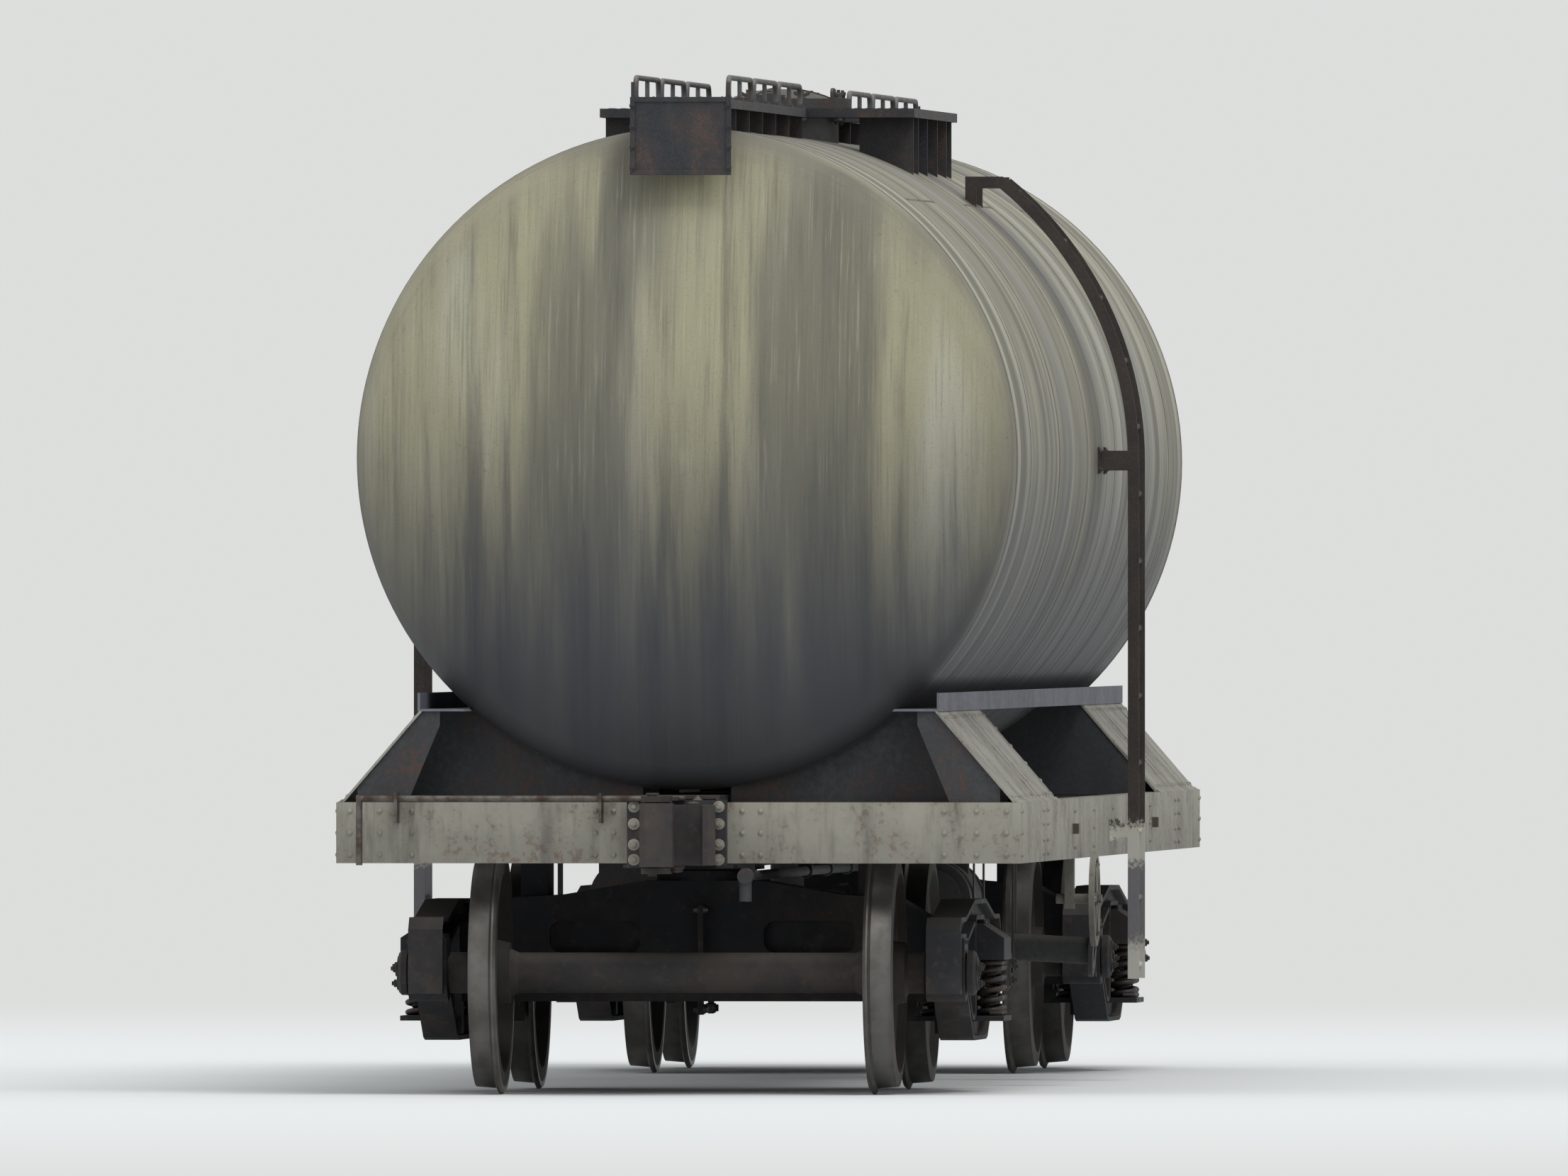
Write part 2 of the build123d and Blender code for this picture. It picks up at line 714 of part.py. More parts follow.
# Underframe
outlet_x = -450
outlet_radius = 75
with BuildPart() as centre_sill:
    for side in (-1, 1):
        block(
            -sill_end, sill_end, side * (centre_sill_half - sill_web), side * centre_sill_half,
            rail + centre_sill_bottom, rail + centre_sill_top,
        )
        block(
            -sill_end, sill_end, side * (centre_sill_half - sill_web), side * centre_sill_flange,
            rail + centre_sill_bottom, rail + centre_sill_bottom + sill_web,
        )
    block(
        -sill_end, sill_end, -centre_sill_half, centre_sill_half,
        rail + centre_sill_top - sill_web, rail + centre_sill_top,
    )
    with Locations((outlet_x, 0, rail + centre_sill_top)):
        Cylinder(outlet_radius + 10, 60, mode=Mode.SUBTRACT)
save(centre_sill, "centre_sill")

hook_inset = 3200
with BuildPart() as solebars:
    for side in (-1, 1):
        block(
            -sill_end, sill_end, side * web_inner, side * solebar_face, rail + sill_bottom, rail + sill_top,
        )
        for flange_low in (rail + sill_bottom, rail + sill_top - plate):
            block(
                -sill_end, sill_end, side * solebar_inner, side * web_inner, flange_low, flange_low + plate,
            )
        for direction in (-1, 1):
            hook_x = direction * (end_x - hook_inset)
            hook_z = rail + (sill_bottom + sill_top) / 2
            block(
                hook_x - 23, hook_x + 23, side * solebar_face, side * (solebar_face + 30),
                hook_z - 23, hook_z + 23,
            )
save(solebars, "solebars")

opening_half = 150
opening_top = 115
with BuildPart() as headstocks:
    for end, direction in ENDS:
        inner_x = direction * sill_end
        block(
            inner_x, direction * end_x, -solebar_face, solebar_face, rail + sill_bottom, rail + sill_top,
        )
        for side in (-1, 1):
            for flange_low in (rail + sill_bottom, rail + sill_top - plate):
                block(
                    inner_x - direction * 75, inner_x, side * centre_sill_flange, side * solebar_inner,
                    flange_low, flange_low + plate,
                )
        block(
            inner_x - 30, inner_x + 30, -opening_half, opening_half,
            coupler_z - shank_half_height - pivot_gap, coupler_z + opening_top, mode=Mode.SUBTRACT,
        )
save(headstocks, "headstocks")

bearer_top_z = rail + sill_top - plate
bearer_low = sill_bottom + 20
bearer_pitch = 1200
end_saddle_x = shell_end - 12
# Place along the car, height of the lower flange
bearer_table = [(step * bearer_pitch, bearer_low) for step in range(-2, 3)]
bearer_table += [(-end_saddle_x, bearer_low + 75), (end_saddle_x, bearer_low + 75)]
with BuildPart() as bearers:
    for place, low in bearer_table:
        for side in (-1, 1):
            ends = (side * centre_sill_half, side * web_inner)
            block(place - 6, place + 6, *ends, rail + low, bearer_top_z)
            block(place - 45, place + 45, *ends, bearer_top_z - plate, bearer_top_z)
            block(place - 45, place + 45, *ends, rail + low, rail + low + plate)
save(bearers, "cross_bearers")

bolster_floor = rail + centre_sill_bottom + sill_web
bolster_knee = web_inner - 478
bolster_rise = 50
with BuildPart() as body_bolsters:
    for end, direction in ENDS:
        pivot_x = direction * bogie_x
        for side in (-1, 1):
            # Half length of the box or cover plate, its lower and upper limits at the centre sill
            for half_length, low, high in (
                (bolster_half_length - 25, bolster_floor, bearer_top_z),
                (bolster_half_length, bolster_floor, bolster_floor + plate),
                (bolster_half_length, bearer_top_z - plate, bearer_top_z),
            ):
                lift = bolster_rise if low == bolster_floor else 0
                drop = bolster_rise if high == bolster_floor + plate else 0
                with BuildSketch(cross_plane(pivot_x - half_length)) as bolster_section:
                    with BuildLine():
                        Polyline(
                            (side * centre_sill_half, low),
                            (side * bolster_knee, low),
                            (side * web_inner, low + lift),
                            (side * web_inner, high + drop),
                            (side * bolster_knee, high),
                            (side * centre_sill_half, high),
                            close=True,
                        )
                    make_face()
                extrude(amount=2 * half_length)
save(body_bolsters, "body_bolsters")

with BuildPart() as centre_plates:
    for end, direction in ENDS:
        pivot_x = direction * bogie_x
        block(
            pivot_x - 220, pivot_x + 220, -centre_sill_flange, centre_sill_flange,
            rail + centre_sill_bottom - sill_web, rail + centre_sill_bottom,
        )
        bar(
            (pivot_x, 0, rail + centre_plate_height), (pivot_x, 0, rail + centre_sill_bottom - 10),
            centre_plate_radius,
        )
save(centre_plates, "centre_plates")

# Cradle: sloping side plates over the bogies, a long band each side and saddles under the barrel
slope_foot = solebar_face - slope_inset
slope_head = slope_foot - slope_run
slope_rise = slope_top - sill_top
slope_shift = slope_plate * sqrt(slope_run**2 + slope_rise**2) / slope_rise
for end, direction in ENDS:
    with BuildPart() as slope_plates:
        for side in (-1, 1):
            start_x = direction * slope_inner_x if direction > 0 else direction * sill_end
            with BuildSketch(cross_plane(start_x)) as slope_section:
                with BuildLine():
                    Polyline(
                        (side * slope_foot, rail + sill_top),
                        (side * slope_head, rail + slope_top),
                        (side * (slope_head - slope_shift), rail + slope_top),
                        (side * (slope_foot - slope_shift), rail + sill_top),
                        close=True,
                    )
                make_face()
            extrude(amount=sill_end - slope_inner_x)
    save(slope_plates, f"cradle_plates_{end}")

band_edge = sqrt(barrel_radius**2 - (barrel_z - rail - slope_top) ** 2) - 40
with BuildPart() as bands:
    for side in (-1, 1):
        block(
            -sill_end, sill_end, side * band_edge, side * (slope_head + 6),
            rail + slope_top, rail + slope_top + slope_plate,
        )
        block(
            -sill_end, sill_end, side * (slope_head + 6 - slope_plate), side * (slope_head + 6),
            rail + slope_top, rail + slope_top + slope_plate + band_lip,
        )
    cut_barrel_seat(-sill_end - 50, sill_end + 50)
save(bands, "cradle_bands")

saddle_places = (slope_inner_x + plate, bogie_x - 120, bogie_x + 120, end_saddle_x)
slope_ratio = slope_run / slope_rise
slope_inner_edge = rail + sill_top + (slope_foot - slope_shift - solebar_inner) / slope_ratio
saddle_inner = centre_sill_half + plate
with BuildPart() as saddles:
    for saddle_x in saddle_places:
        for direction in (-1, 1):
            for side in (-1, 1):
                with BuildSketch(cross_plane(direction * saddle_x - saddle_plate / 2)) as saddle_section:
                    with BuildLine():
                        Polyline(
                            (side * saddle_inner, bearer_top_z),
                            (side * solebar_inner, bearer_top_z),
                            (side * solebar_inner, slope_inner_edge),
                            (side * (slope_head - slope_shift), rail + slope_top),
                            (side * saddle_inner, rail + slope_top),
                            close=True,
                        )
                    make_face()
                extrude(amount=saddle_plate)
    for step in range(-2, 3):
        pad_x = step * bearer_pitch
        block(
            pad_x - 90, pad_x + 90, -centre_sill_half + 20, centre_sill_half - 20,
            rail + centre_sill_top, rail + barrel_floor + 35,
        )
    cut_barrel_seat(-sill_end, sill_end)
    for direction in (-1, 1):
        for side in (-1, 1):
            with BuildSketch(cross_plane(direction * (sill_end - 20) - saddle_plate / 2)) as gusset_section:
                with BuildLine():
                    Polyline(
                        (side * (solebar_inner - 220), rail + sill_top),
                        (side * solebar_inner, rail + sill_top),
                        (side * solebar_inner, slope_inner_edge),
                        (side * (slope_head - slope_shift), rail + slope_top),
                        (side * (slope_head - 90), rail + slope_top),
                        (side * (slope_head - 90), rail + slope_top - 60),
                        close=True,
                    )
                make_face()
            extrude(amount=saddle_plate)
save(saddles, "saddles")

# Draft gear, strikers and couplers
draft_x = pull_x - coupler_pin_back
yoke_low = shank_half_height + pivot_gap
draft_gear_length = 430
with BuildPart() as draft_gear:
    for end, direction in ENDS:
        pin_x = direction * draft_x
        rear_x = pin_x - direction * 130
        block(
            rear_x, rear_x - direction * draft_gear_length,
            sill_web - centre_sill_half, centre_sill_half - sill_web, coupler_z - 100, coupler_z + 100,
        )
        for level in (-1, 1):
            block(
                rear_x, pin_x + direction * 100, -105, 105,
                coupler_z + level * yoke_low, coupler_z + level * (yoke_low + 25),
            )
        bar((pin_x, 0, coupler_z - yoke_low - 5), (pin_x, 0, coupler_z + yoke_low + 5), coupler_pin_radius)
save(draft_gear, "draft_gear")

striker_depth = 95
with BuildPart() as strikers:
    for end, direction in ENDS:
        face_x = direction * end_x
        block(
            face_x, face_x + direction * striker_depth, -215, 215,
            coupler_z - shank_half_height - 60, coupler_z + opening_top + 35,
        )
        block(
            face_x - direction * 50, face_x + direction * (striker_depth + 50), -opening_half, opening_half,
            coupler_z - shank_half_height - pivot_gap, coupler_z + opening_top, mode=Mode.SUBTRACT,
        )
save(strikers, "strikers")

head_outline = [
    (-330, -shank_half_width),
    (-215, -135),
    (-125, -140),
    (-125, -28),
    (-100, -10),
    (-100, 60),
    (-92, 125),
    (-70, 140),
    (60, 148),
    (76, 172),
    (50, 195),
    (-120, 190),
    (-215, 150),
    (-330, shank_half_width),
]
knuckle_outline = [
    (knuckle_pin_x, -132),
    (50, -128),
    (74, -100),
    (78, -20),
    (60, 18),
    (8, 20),
    (0, 8),
    (0, -52),
    (-22, -66),
    (knuckle_pin_x, -50),
]
lug_low = knuckle_half_height + 5
lug_high = lug_low + 26
for end, direction in ENDS:
    knuckle_pin = (direction * (pull_x + knuckle_pin_x), direction * knuckle_pin_y)
    with BuildPart() as coupler:
        pulling_point = (direction * pull_x, 0, coupler_z)
        coupler_plane = Plane(origin=pulling_point, x_dir=(direction, 0, 0), z_dir=(0, 0, 1))
        with BuildSketch(coupler_plane) as head_section:
            with BuildLine():
                Polyline(*head_outline, close=True)
            make_face()
            with Locations((knuckle_pin_x, knuckle_pin_y)):
                Circle(knuckle_hub + 3, mode=Mode.SUBTRACT)
        extrude(amount=head_half_height, both=True)
        with BuildSketch(coupler_plane) as shank_section:
            with Locations((-coupler_pin_back / 2 - 160, 0)):
                Rectangle(coupler_pin_back - 320, 2 * shank_half_width)
            with Locations((-coupler_pin_back, 0)):
                Circle(88)
        extrude(amount=shank_half_height, both=True)
        for level in (-1, 1):
            with BuildSketch(coupler_plane.offset(level * (lug_low + lug_high) / 2)) as lug_section:
                with BuildLine():
                    Polyline(
                        (-215, -130), (knuckle_pin_x, -130), (knuckle_pin_x, -30), (-125, -5), (-215, -5),
                        close=True,
                    )
                make_face()
                with Locations((knuckle_pin_x, knuckle_pin_y)):
                    Circle(50)
            extrude(amount=(lug_high - lug_low) / 2, both=True)
            riser_plane = coupler_plane.offset(level * (head_half_height + lug_high) / 2)
            with BuildSketch(riser_plane) as riser_section:
                with BuildLine():
                    Polyline((-215, -130), (-128, -130), (-128, -5), (-215, -5), close=True)
                make_face()
            extrude(amount=(lug_high - head_half_height) / 2, both=True)
        bar(
            (*knuckle_pin, coupler_z - lug_high - 10), (*knuckle_pin, coupler_z + lug_high + 14),
            knuckle_pin_radius,
        )
        hole = (direction * draft_x, 0)
        bar(
            (*hole, coupler_z - 2 * shank_half_height), (*hole, coupler_z + 2 * shank_half_height),
            coupler_pin_radius + pin_play, mode=Mode.SUBTRACT,
        )
    save(coupler, f"coupler_{end}")

    with BuildPart() as knuckle:
        with BuildSketch(coupler_plane) as knuckle_section:
            with BuildLine():
                Polyline(*knuckle_outline, close=True)
            make_face()
            fillet([corner for corner in knuckle_section.vertices() if corner.X > 40], 12)
            with Locations((knuckle_pin_x, knuckle_pin_y)):
                Circle(knuckle_hub)
                Circle(knuckle_pin_radius + pin_play, mode=Mode.SUBTRACT)
        extrude(amount=knuckle_half_height, both=True)
    save(knuckle, f"knuckle_{end}")

# Uncoupling rods: across each end above the coupler's head, with a handle at the side
rod_radius = 14
rod_reach = striker_depth + 17
rod_z = coupler_z + head_half_height + 27
rod_side = solebar_face - 110
handle_drop = 290
with BuildPart() as uncoupling:
    for end, direction in ENDS:
        rod_x = direction * (end_x + rod_reach)
        outer_y = -direction * rod_side
        bar((rod_x, outer_y, rod_z), (rod_x, direction * 40, rod_z), rod_radius)
        bar((rod_x, outer_y, rod_z + rod_radius), (rod_x, outer_y, rod_z - handle_drop), rod_radius)
        block(rod_x, rod_x + direction * 95, -16, 16, rod_z - 8, rod_z + 8)
        for ear_y in (-direction * 330, -direction * (rod_side - 160)):
            block(
                direction * end_x, rod_x + direction * (rod_radius + 10), ear_y - 6, ear_y + 6,
                rail + sill_top - 90, rod_z + rod_radius + 10,
            )
save(uncoupling, "uncoupling_rods")

# Discharge: an outlet from the barrel's bottom to cross pipes that fall to a flange each side
cross_pipe_z = rail + 620
cross_pipe_radius = 60
cross_pipe_bore = 50
cross_pipe_end = 1380
outlet_depth = 150
flange_thickness = 20
outlet_flange_radius = 115
outlet_bolt_circle = 180
outlet_bolt_radius = 9
outlet_hole_count = 8
pipe_fall = radians(3)
with BuildPart() as discharge:
    bar((outlet_x, 0, cross_pipe_z - 80), (outlet_x, 0, barrel_drop(0) + 20), outlet_radius)
    with Locations((outlet_x, 0, cross_pipe_z + 60)):
        Cylinder(135, 90)
    for side in (-1, 1):
        outward = Vector(0, side * cos(pipe_fall), -sin(pipe_fall))
        upward = Vector(0, side * sin(pipe_fall), cos(pipe_fall))
        middle = Vector(outlet_x, 0, cross_pipe_z)
        face = middle + outward * cross_pipe_end
        bar(middle, face, cross_pipe_radius)
        bar(face - outward * flange_thickness, face, outlet_flange_radius)
        bar(face - outward * outlet_depth, face + outward * 5, cross_pipe_bore, mode=Mode.SUBTRACT)
        for hole in range(outlet_hole_count):
            turn = 2 * pi * (hole + 0.5) / outlet_hole_count
            reach = Vector(cos(turn), 0, 0) + upward * sin(turn)
            hole_face = face + reach * (outlet_bolt_circle / 2)
            bar(hole_face - outward * 40, hole_face + outward * 5, outlet_bolt_radius, mode=Mode.SUBTRACT)
    cut_barrel_seat(-900, 900)
save(discharge, "discharge_pipes")

# Brake gear under the floor
cylinder_x = 1150
cylinder_y = -560
cylinder_z = rail + 790
with BuildPart() as brake_cylinder:
    bar((cylinder_x - 150, cylinder_y, cylinder_z), (cylinder_x + 250, cylinder_y, cylinder_z), 178)
    bar((cylinder_x - 170, cylinder_y, cylinder_z), (cylinder_x - 140, cylinder_y, cylinder_z), 200)
    bar((cylinder_x - 240, cylinder_y, cylinder_z), (cylinder_x - 160, cylinder_y, cylinder_z), 60)
    block(cylinder_x + 20, cylinder_x + 80, cylinder_y - 150, cylinder_y + 150, cylinder_z, rail + bearer_low)
save(brake_cylinder, "brake_cylinder")

reservoir_x = -bearer_pitch
reservoir_y = 620
reservoir_z = rail + 770
with BuildPart() as reservoir:
    for half_length, radius in ((450, 180), (490, 140)):
        bar(
            (reservoir_x - half_length, reservoir_y, reservoir_z),
            (reservoir_x + half_length, reservoir_y, reservoir_z), radius,
        )
    block(
        reservoir_x - 30, reservoir_x + 30, reservoir_y - 140, reservoir_y + 140,
        reservoir_z, rail + bearer_low,
    )
save(reservoir, "air_reservoir")

pipe_radius = 21
pipe_y = 300
pipe_z = rail + 925
cock_x = end_x + 110
with BuildPart() as brake_pipe:
    bar((-cock_x, pipe_y, pipe_z), (cock_x, pipe_y, pipe_z), pipe_radius)
    for end, direction in ENDS:
        bar(
            (direction * cock_x, pipe_y, pipe_z), (direction * (cock_x - 90), pipe_y, pipe_z), 34,
        )
        elbow_x = direction * (cock_x - 30)
        bar((elbow_x, pipe_y, pipe_z), (elbow_x, pipe_y, pipe_z - 110), 27)
        block(
            direction * (sill_end - 60), direction * (sill_end - 30), pipe_y - 30, pipe_y + 30,
            pipe_z, rail + sill_bottom,
        )
    for step in range(-2, 3):
        hanger_x = step * bearer_pitch
        block(hanger_x - 20, hanger_x + 20, pipe_y - 30, pipe_y + 30, pipe_z, rail + bearer_low)
save(brake_pipe, "brake_pipe")

rigging_z = rail + 790
lever_front = bogie_x - lever_x - lever_half
with BuildPart() as rigging:
    for lever_x, low_y, high_y in ((880, -640, 120), (-620, -640, 120)):
        block(lever_x - 30, lever_x + 30, low_y, high_y, rigging_z - 12, rigging_z + 12)
    bar((880, -300, rigging_z), (-620, -300, rigging_z), 28)
    bar((880, 0, rigging_z), (lever_front - 60, 0, rigging_z), 16)
    bar((-620, 0, rigging_z), (60 - lever_front, 0, rigging_z), 16)
    for direction in (-1, 1):
        tip = direction * (lever_front - 12)
        block(tip, tip - direction * 90, -35, 35, rigging_z - 25, rigging_z + 25)
    for step in (-2, -1, 1, 2):
        hanger_x = step * bearer_pitch
        block(hanger_x - 20, hanger_x + 20, -215, -195, rigging_z - 40, rail + centre_sill_bottom)
        block(hanger_x - 20, hanger_x + 20, -215, 40, rigging_z - 40, rigging_z - 16)
save(rigging, "brake_rigging")

hand_x = 2000
hand_z = rail + 800
wheel_y = solebar_face + 60
with BuildPart() as hand_brake:
    with BuildSketch(side_plane(hand_x, wheel_y + 12, hand_z)) as hand_section:
        Circle(210)
        Circle(182, mode=Mode.SUBTRACT)
        for turn in (0, 60, 120):
            with Locations(Rotation(0, 0, turn)):
                Rectangle(380, 22)
        Circle(40)
    extrude(amount=24)
    bar((hand_x, wheel_y, hand_z), (hand_x, solebar_face - 110, hand_z), 22)
    block(
        hand_x - 40, hand_x + 40, solebar_face - 70, solebar_face - 30, hand_z - 45, rail + sill_bottom,
    )
save(hand_brake, "hand_brake")
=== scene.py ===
import json
from math import cos, pi, radians, sin, sqrt, tau

import bpy
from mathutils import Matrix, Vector


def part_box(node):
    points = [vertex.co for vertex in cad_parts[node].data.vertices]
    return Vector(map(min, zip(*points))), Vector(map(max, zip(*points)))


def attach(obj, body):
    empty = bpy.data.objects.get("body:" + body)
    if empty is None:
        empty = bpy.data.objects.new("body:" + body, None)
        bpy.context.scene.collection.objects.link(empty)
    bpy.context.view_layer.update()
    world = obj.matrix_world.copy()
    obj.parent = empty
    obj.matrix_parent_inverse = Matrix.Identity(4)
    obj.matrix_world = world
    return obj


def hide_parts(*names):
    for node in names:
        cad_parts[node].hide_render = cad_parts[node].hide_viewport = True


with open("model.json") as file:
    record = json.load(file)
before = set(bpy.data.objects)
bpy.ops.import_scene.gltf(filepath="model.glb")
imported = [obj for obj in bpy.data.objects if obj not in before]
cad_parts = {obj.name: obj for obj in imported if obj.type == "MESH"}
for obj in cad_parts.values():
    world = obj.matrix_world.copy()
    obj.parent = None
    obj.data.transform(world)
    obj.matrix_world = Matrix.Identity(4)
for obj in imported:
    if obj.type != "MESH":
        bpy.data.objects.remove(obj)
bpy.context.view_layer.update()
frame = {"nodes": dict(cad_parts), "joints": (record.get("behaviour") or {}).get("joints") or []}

# Places read from the CAD model, in metres: X along the car, Y across it, Z up
X, Y, Z = range(3)
UP = Vector((0, 0, 1))
PINS = {joint["name"]: joint["pos_m"] for joint in frame["joints"]}


def pin(joint, axis):
    """Where a joint of the CAD model is along one axis, to a tenth of a millimetre."""
    return round(PINS[joint][axis], 4)


def least(node, axis):
    """The low side of a CAD node's box along one axis, to a tenth of a millimetre."""
    return round(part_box(node)[0][axis], 4)


def most(node, axis):
    """The high side of a CAD node's box along one axis, to a tenth of a millimetre."""
    return round(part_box(node)[1][axis], 4)


AXLE_Z = pin("wheelset_1_roll", Z)
BOGIE_X = pin("bogie_front_pivot", X)
AXLE_REACH = round(pin("wheelset_1_roll", X) - BOGIE_X, 4)
CAP_FACE = most("axle_1", Y)
SPRING_LOW = least("springs_front", Z)
SPRING_HIGH = most("springs_front", Z)
BOLSTER_TOP = most("bogie_bolster_front", Z)
COUPLER_Z = pin("coupler_front_swing", Z)
KNUCKLE_X = pin("knuckle_front_opening", X)
KNUCKLE_Y = pin("knuckle_front_opening", Y)
HINGE_Y = pin("lid_hinge", Y)
HINGE_Z = pin("lid_hinge", Z)
DECK_Z = most("walkway_decks", Z)
DECK_END = most("walkway_decks", X)
WIDE_HALF = most("walkway_decks", Y)
DECK_HALF = most("walkway_end_plates", Y)
END_PLATE_X = most("walkway_end_plates", X)
END_PLATE_LOW = least("walkway_end_plates", Z)
SOLEBAR_Y = most("headstocks", Y)
SOLEBAR_TOP = most("headstocks", Z)
END_X = most("headstocks", X)
STRIKER_X = most("strikers", X)
STRIKER_TOP = most("strikers", Z)
SLOPE_NEAR = least("cradle_plates_front", X)
SLOPE_FAR = most("cradle_plates_front", X)
SLOPE_FOOT = Vector((0.0, most("cradle_plates_front", Y), SOLEBAR_TOP))
SLOPE_HEAD = Vector((0.0, 1.130, most("cradle_plates_front", Z)))
LADDER_HALF = most("ladder_left", X)

# Places of the CAD model that its boxes and joints don't give
TREAD = 0.500
JOURNAL_Y = 1.130
SPRING_PITCH = 0.140
BARREL_R = 1.440
BARREL_Z = 2.7685
CROWN_Z = round(BARREL_Z + BARREL_R, 4)
SHELL_END = 5.252
COURSE = 1.750
LID_TOP = 4.3828
DOME_RISE = 0.045
DOME_R = 0.6103
GAP_END = 1.000
WIDE_END = 1.300
PLANK_GAP = 0.005
SIDE_PLANK = 0.430
FIRST_BRACKET = 1.420
BRACKET_PITCH = 0.7564
HOOP_Y = 0.202
HOOP_FIRST = 1.450
HOOP_PITCH = 1.40667
HOOP_LENGTH = 1.25667
SADDLES = (3.2455, 4.0755, 4.3155, 5.2402)
BEARER_PITCH = 1.200
RAIL_X = 0.189
LADDER_R = 1.597
FIRST_RUNG = round(least("ladder_left", Z) + 0.060, 4)
RUNG_PITCH = 0.300
RUNG_TURN = 10.763
FIRST_TURN = 5.38
OUTLET = Vector((-0.450, 0.0, 0.7085))
CROSS_PIPE_Z = 0.6485
CROSS_PIPE_FALL = radians(3)
RIGGING_Z = 0.8185
CYLINDER_X = 0.980
CYLINDER_Y = -0.560
RESERVOIR_X = -1.200
RESERVOIR_Y = 0.620
RESERVOIR_Z = 0.7985
RESERVOIR_R = 0.180
BRAKE_PIPE_Y = 0.300
BRAKE_PIPE_Z = 0.9535
HAND_WHEEL = Vector((2.000, most("hand_brake", Y), 0.8285))
HAND_WHEEL_R = 0.174
AXLES = ((1, 1, 1), (2, 1, -1), (3, -1, 1), (4, -1, -1))
ENDS = (("front", 1), ("rear", -1))

# Each valve on top of the barrel: its place along the car, its body's radius and its height
VALVES = ((0.640, 0.075, 0.190), (-0.640, 0.075, 0.190), (0.450, 0.045, 0.120))

# Where the brake levers and pull rods are pinned, along the car and across it
LEVER_PINS = ((0.88, -0.56), (0.88, -0.30), (0.88, 0.0), (-0.62, -0.30), (-0.62, 0.0), (-0.62, -0.6),
              (3.81, 0.0), (-3.81, 0.0))

# Sizes of the trim that only this script has
BEAD = 0.008
CHEQUER = 0.052
PLANK_MARGIN = 0.030
RIM = 0.022
RIM_TOP = 4.3385
STUD_R = 0.298
LUG_R = 0.290
LUG_Z = 4.306
HANDLE_Y = 0.240
PAD_HALF = 0.035
PAD_RISE = 0.060
LADDER_FOOT_LOW = 1.070
LADDER_FOOT_HIGH = 1.167
SLOPE_EDGE = 0.060
SLOPE_RIVETS = 15
WEB_ROWS = (1.045, 1.140, 1.235)
BEARER_ROWS = (1.060, 1.140, 1.220)
BOLSTER_ROWS = (1.045, 1.105, 1.175, 1.235)
COILS = ((0.0515, 0.0122, 6.5, 10), (0.0285, 0.0075, 8.5, 8))

# Camera and light
CAMERA_AZIMUTH = 94.4
CAMERA_DISTANCE = 210.0
CAMERA_HEIGHT = 2.36
CAMERA_AIM = Vector((0.0, 0.02, 2.20))
CAMERA_LENS = 1080.0
FLOOR = (0.66, 0.67, 0.66, 1)
BACKDROP = (0.72, 0.73, 0.72, 1)
SKY = (0.94, 0.97, 1.0, 1)


def tint(red, green, blue):
    """A colour given as it shows on screen, 0 to 255, turned into Blender's linear values."""
    linear = []
    for part in (red, green, blue):
        part = part / 255
        linear.append(part / 12.92 if part <= 0.04045 else ((part + 0.055) / 1.055) ** 2.4)
    return (*linear, 1.0)


# Meshes

class Shape:
    """The points and faces of one piece, gathered part by part."""

    def __init__(self):
        self.points = []
        self.faces = []

    def add(self, points, faces):
        start = len(self.points)
        self.points += [tuple(point) for point in points]
        self.faces += [[start + corner for corner in face] for face in faces]


def lathe(shape, at, direction, profile, steps=16, caps=True):
    """A turned form: profile is a list of (distance along direction, radius)."""
    axis = Vector(direction).normalized()
    side = axis.orthogonal().normalized()
    other = axis.cross(side)
    points, rings = [], []
    for along, radius in profile:
        middle = Vector(at) + axis * along
        if radius < 1e-6:
            rings.append([len(points)])
            points.append(middle)
            continue
        rings.append([len(points) + step for step in range(steps)])
        for step in range(steps):
            turn = tau * step / steps
            points.append(middle + (side * cos(turn) + other * sin(turn)) * radius)
    faces = []
    for low, high in zip(rings, rings[1:]):
        for step in range(steps if len(low) + len(high) > 2 else 0):
            after = (step + 1) % steps
            corners = [
                low[step % len(low)], low[after % len(low)],
                high[after % len(high)], high[step % len(high)],
            ]
            faces.append(list(dict.fromkeys(corners)))
    if caps and len(rings[0]) > 1:
        faces.append(list(reversed(rings[0])))
    if caps and len(rings[-1]) > 1:
        faces.append(rings[-1])
    shape.add(points, faces)


def tube(shape, path, radius, sides=8):
    """A round bar swept along a list of points."""
    path = [Vector(point) for point in path]
    last = len(path) - 1
    points = []
    normal = (path[1] - path[0]).orthogonal().normalized()
    for index, point in enumerate(path):
        tangent = (path[min(index + 1, last)] - path[max(index - 1, 0)]).normalized()
        normal = (normal - tangent * normal.dot(tangent)).normalized()
        other = tangent.cross(normal)
        for step in range(sides):
            turn = tau * step / sides
            points.append(point + (normal * cos(turn) + other * sin(turn)) * radius)
    faces = [list(range(sides))[::-1], list(range(last * sides, (last + 1) * sides))]
    for index in range(last):
        for step in range(sides):
            after = (step + 1) % sides
            low, high = index * sides, (index + 1) * sides
            faces.append([low + step, low + after, high + after, high + step])
    shape.add(points, faces)


def prism(shape, outline, origin, along_u, along_v, depth):
    """A flat outline in the plane of two directions, given a thickness."""
    u, v = Vector(along_u).normalized(), Vector(along_v).normalized()
    w = u.cross(v) * depth
    base = [Vector(origin) + u * a + v * b for a, b in outline]
    count = len(base)
    faces = [list(range(count))[::-1], list(range(count, 2 * count))]
    faces += [[k, (k + 1) % count, count + (k + 1) % count, count + k] for k in range(count)]
    shape.add(base + [point + w for point in base], faces)


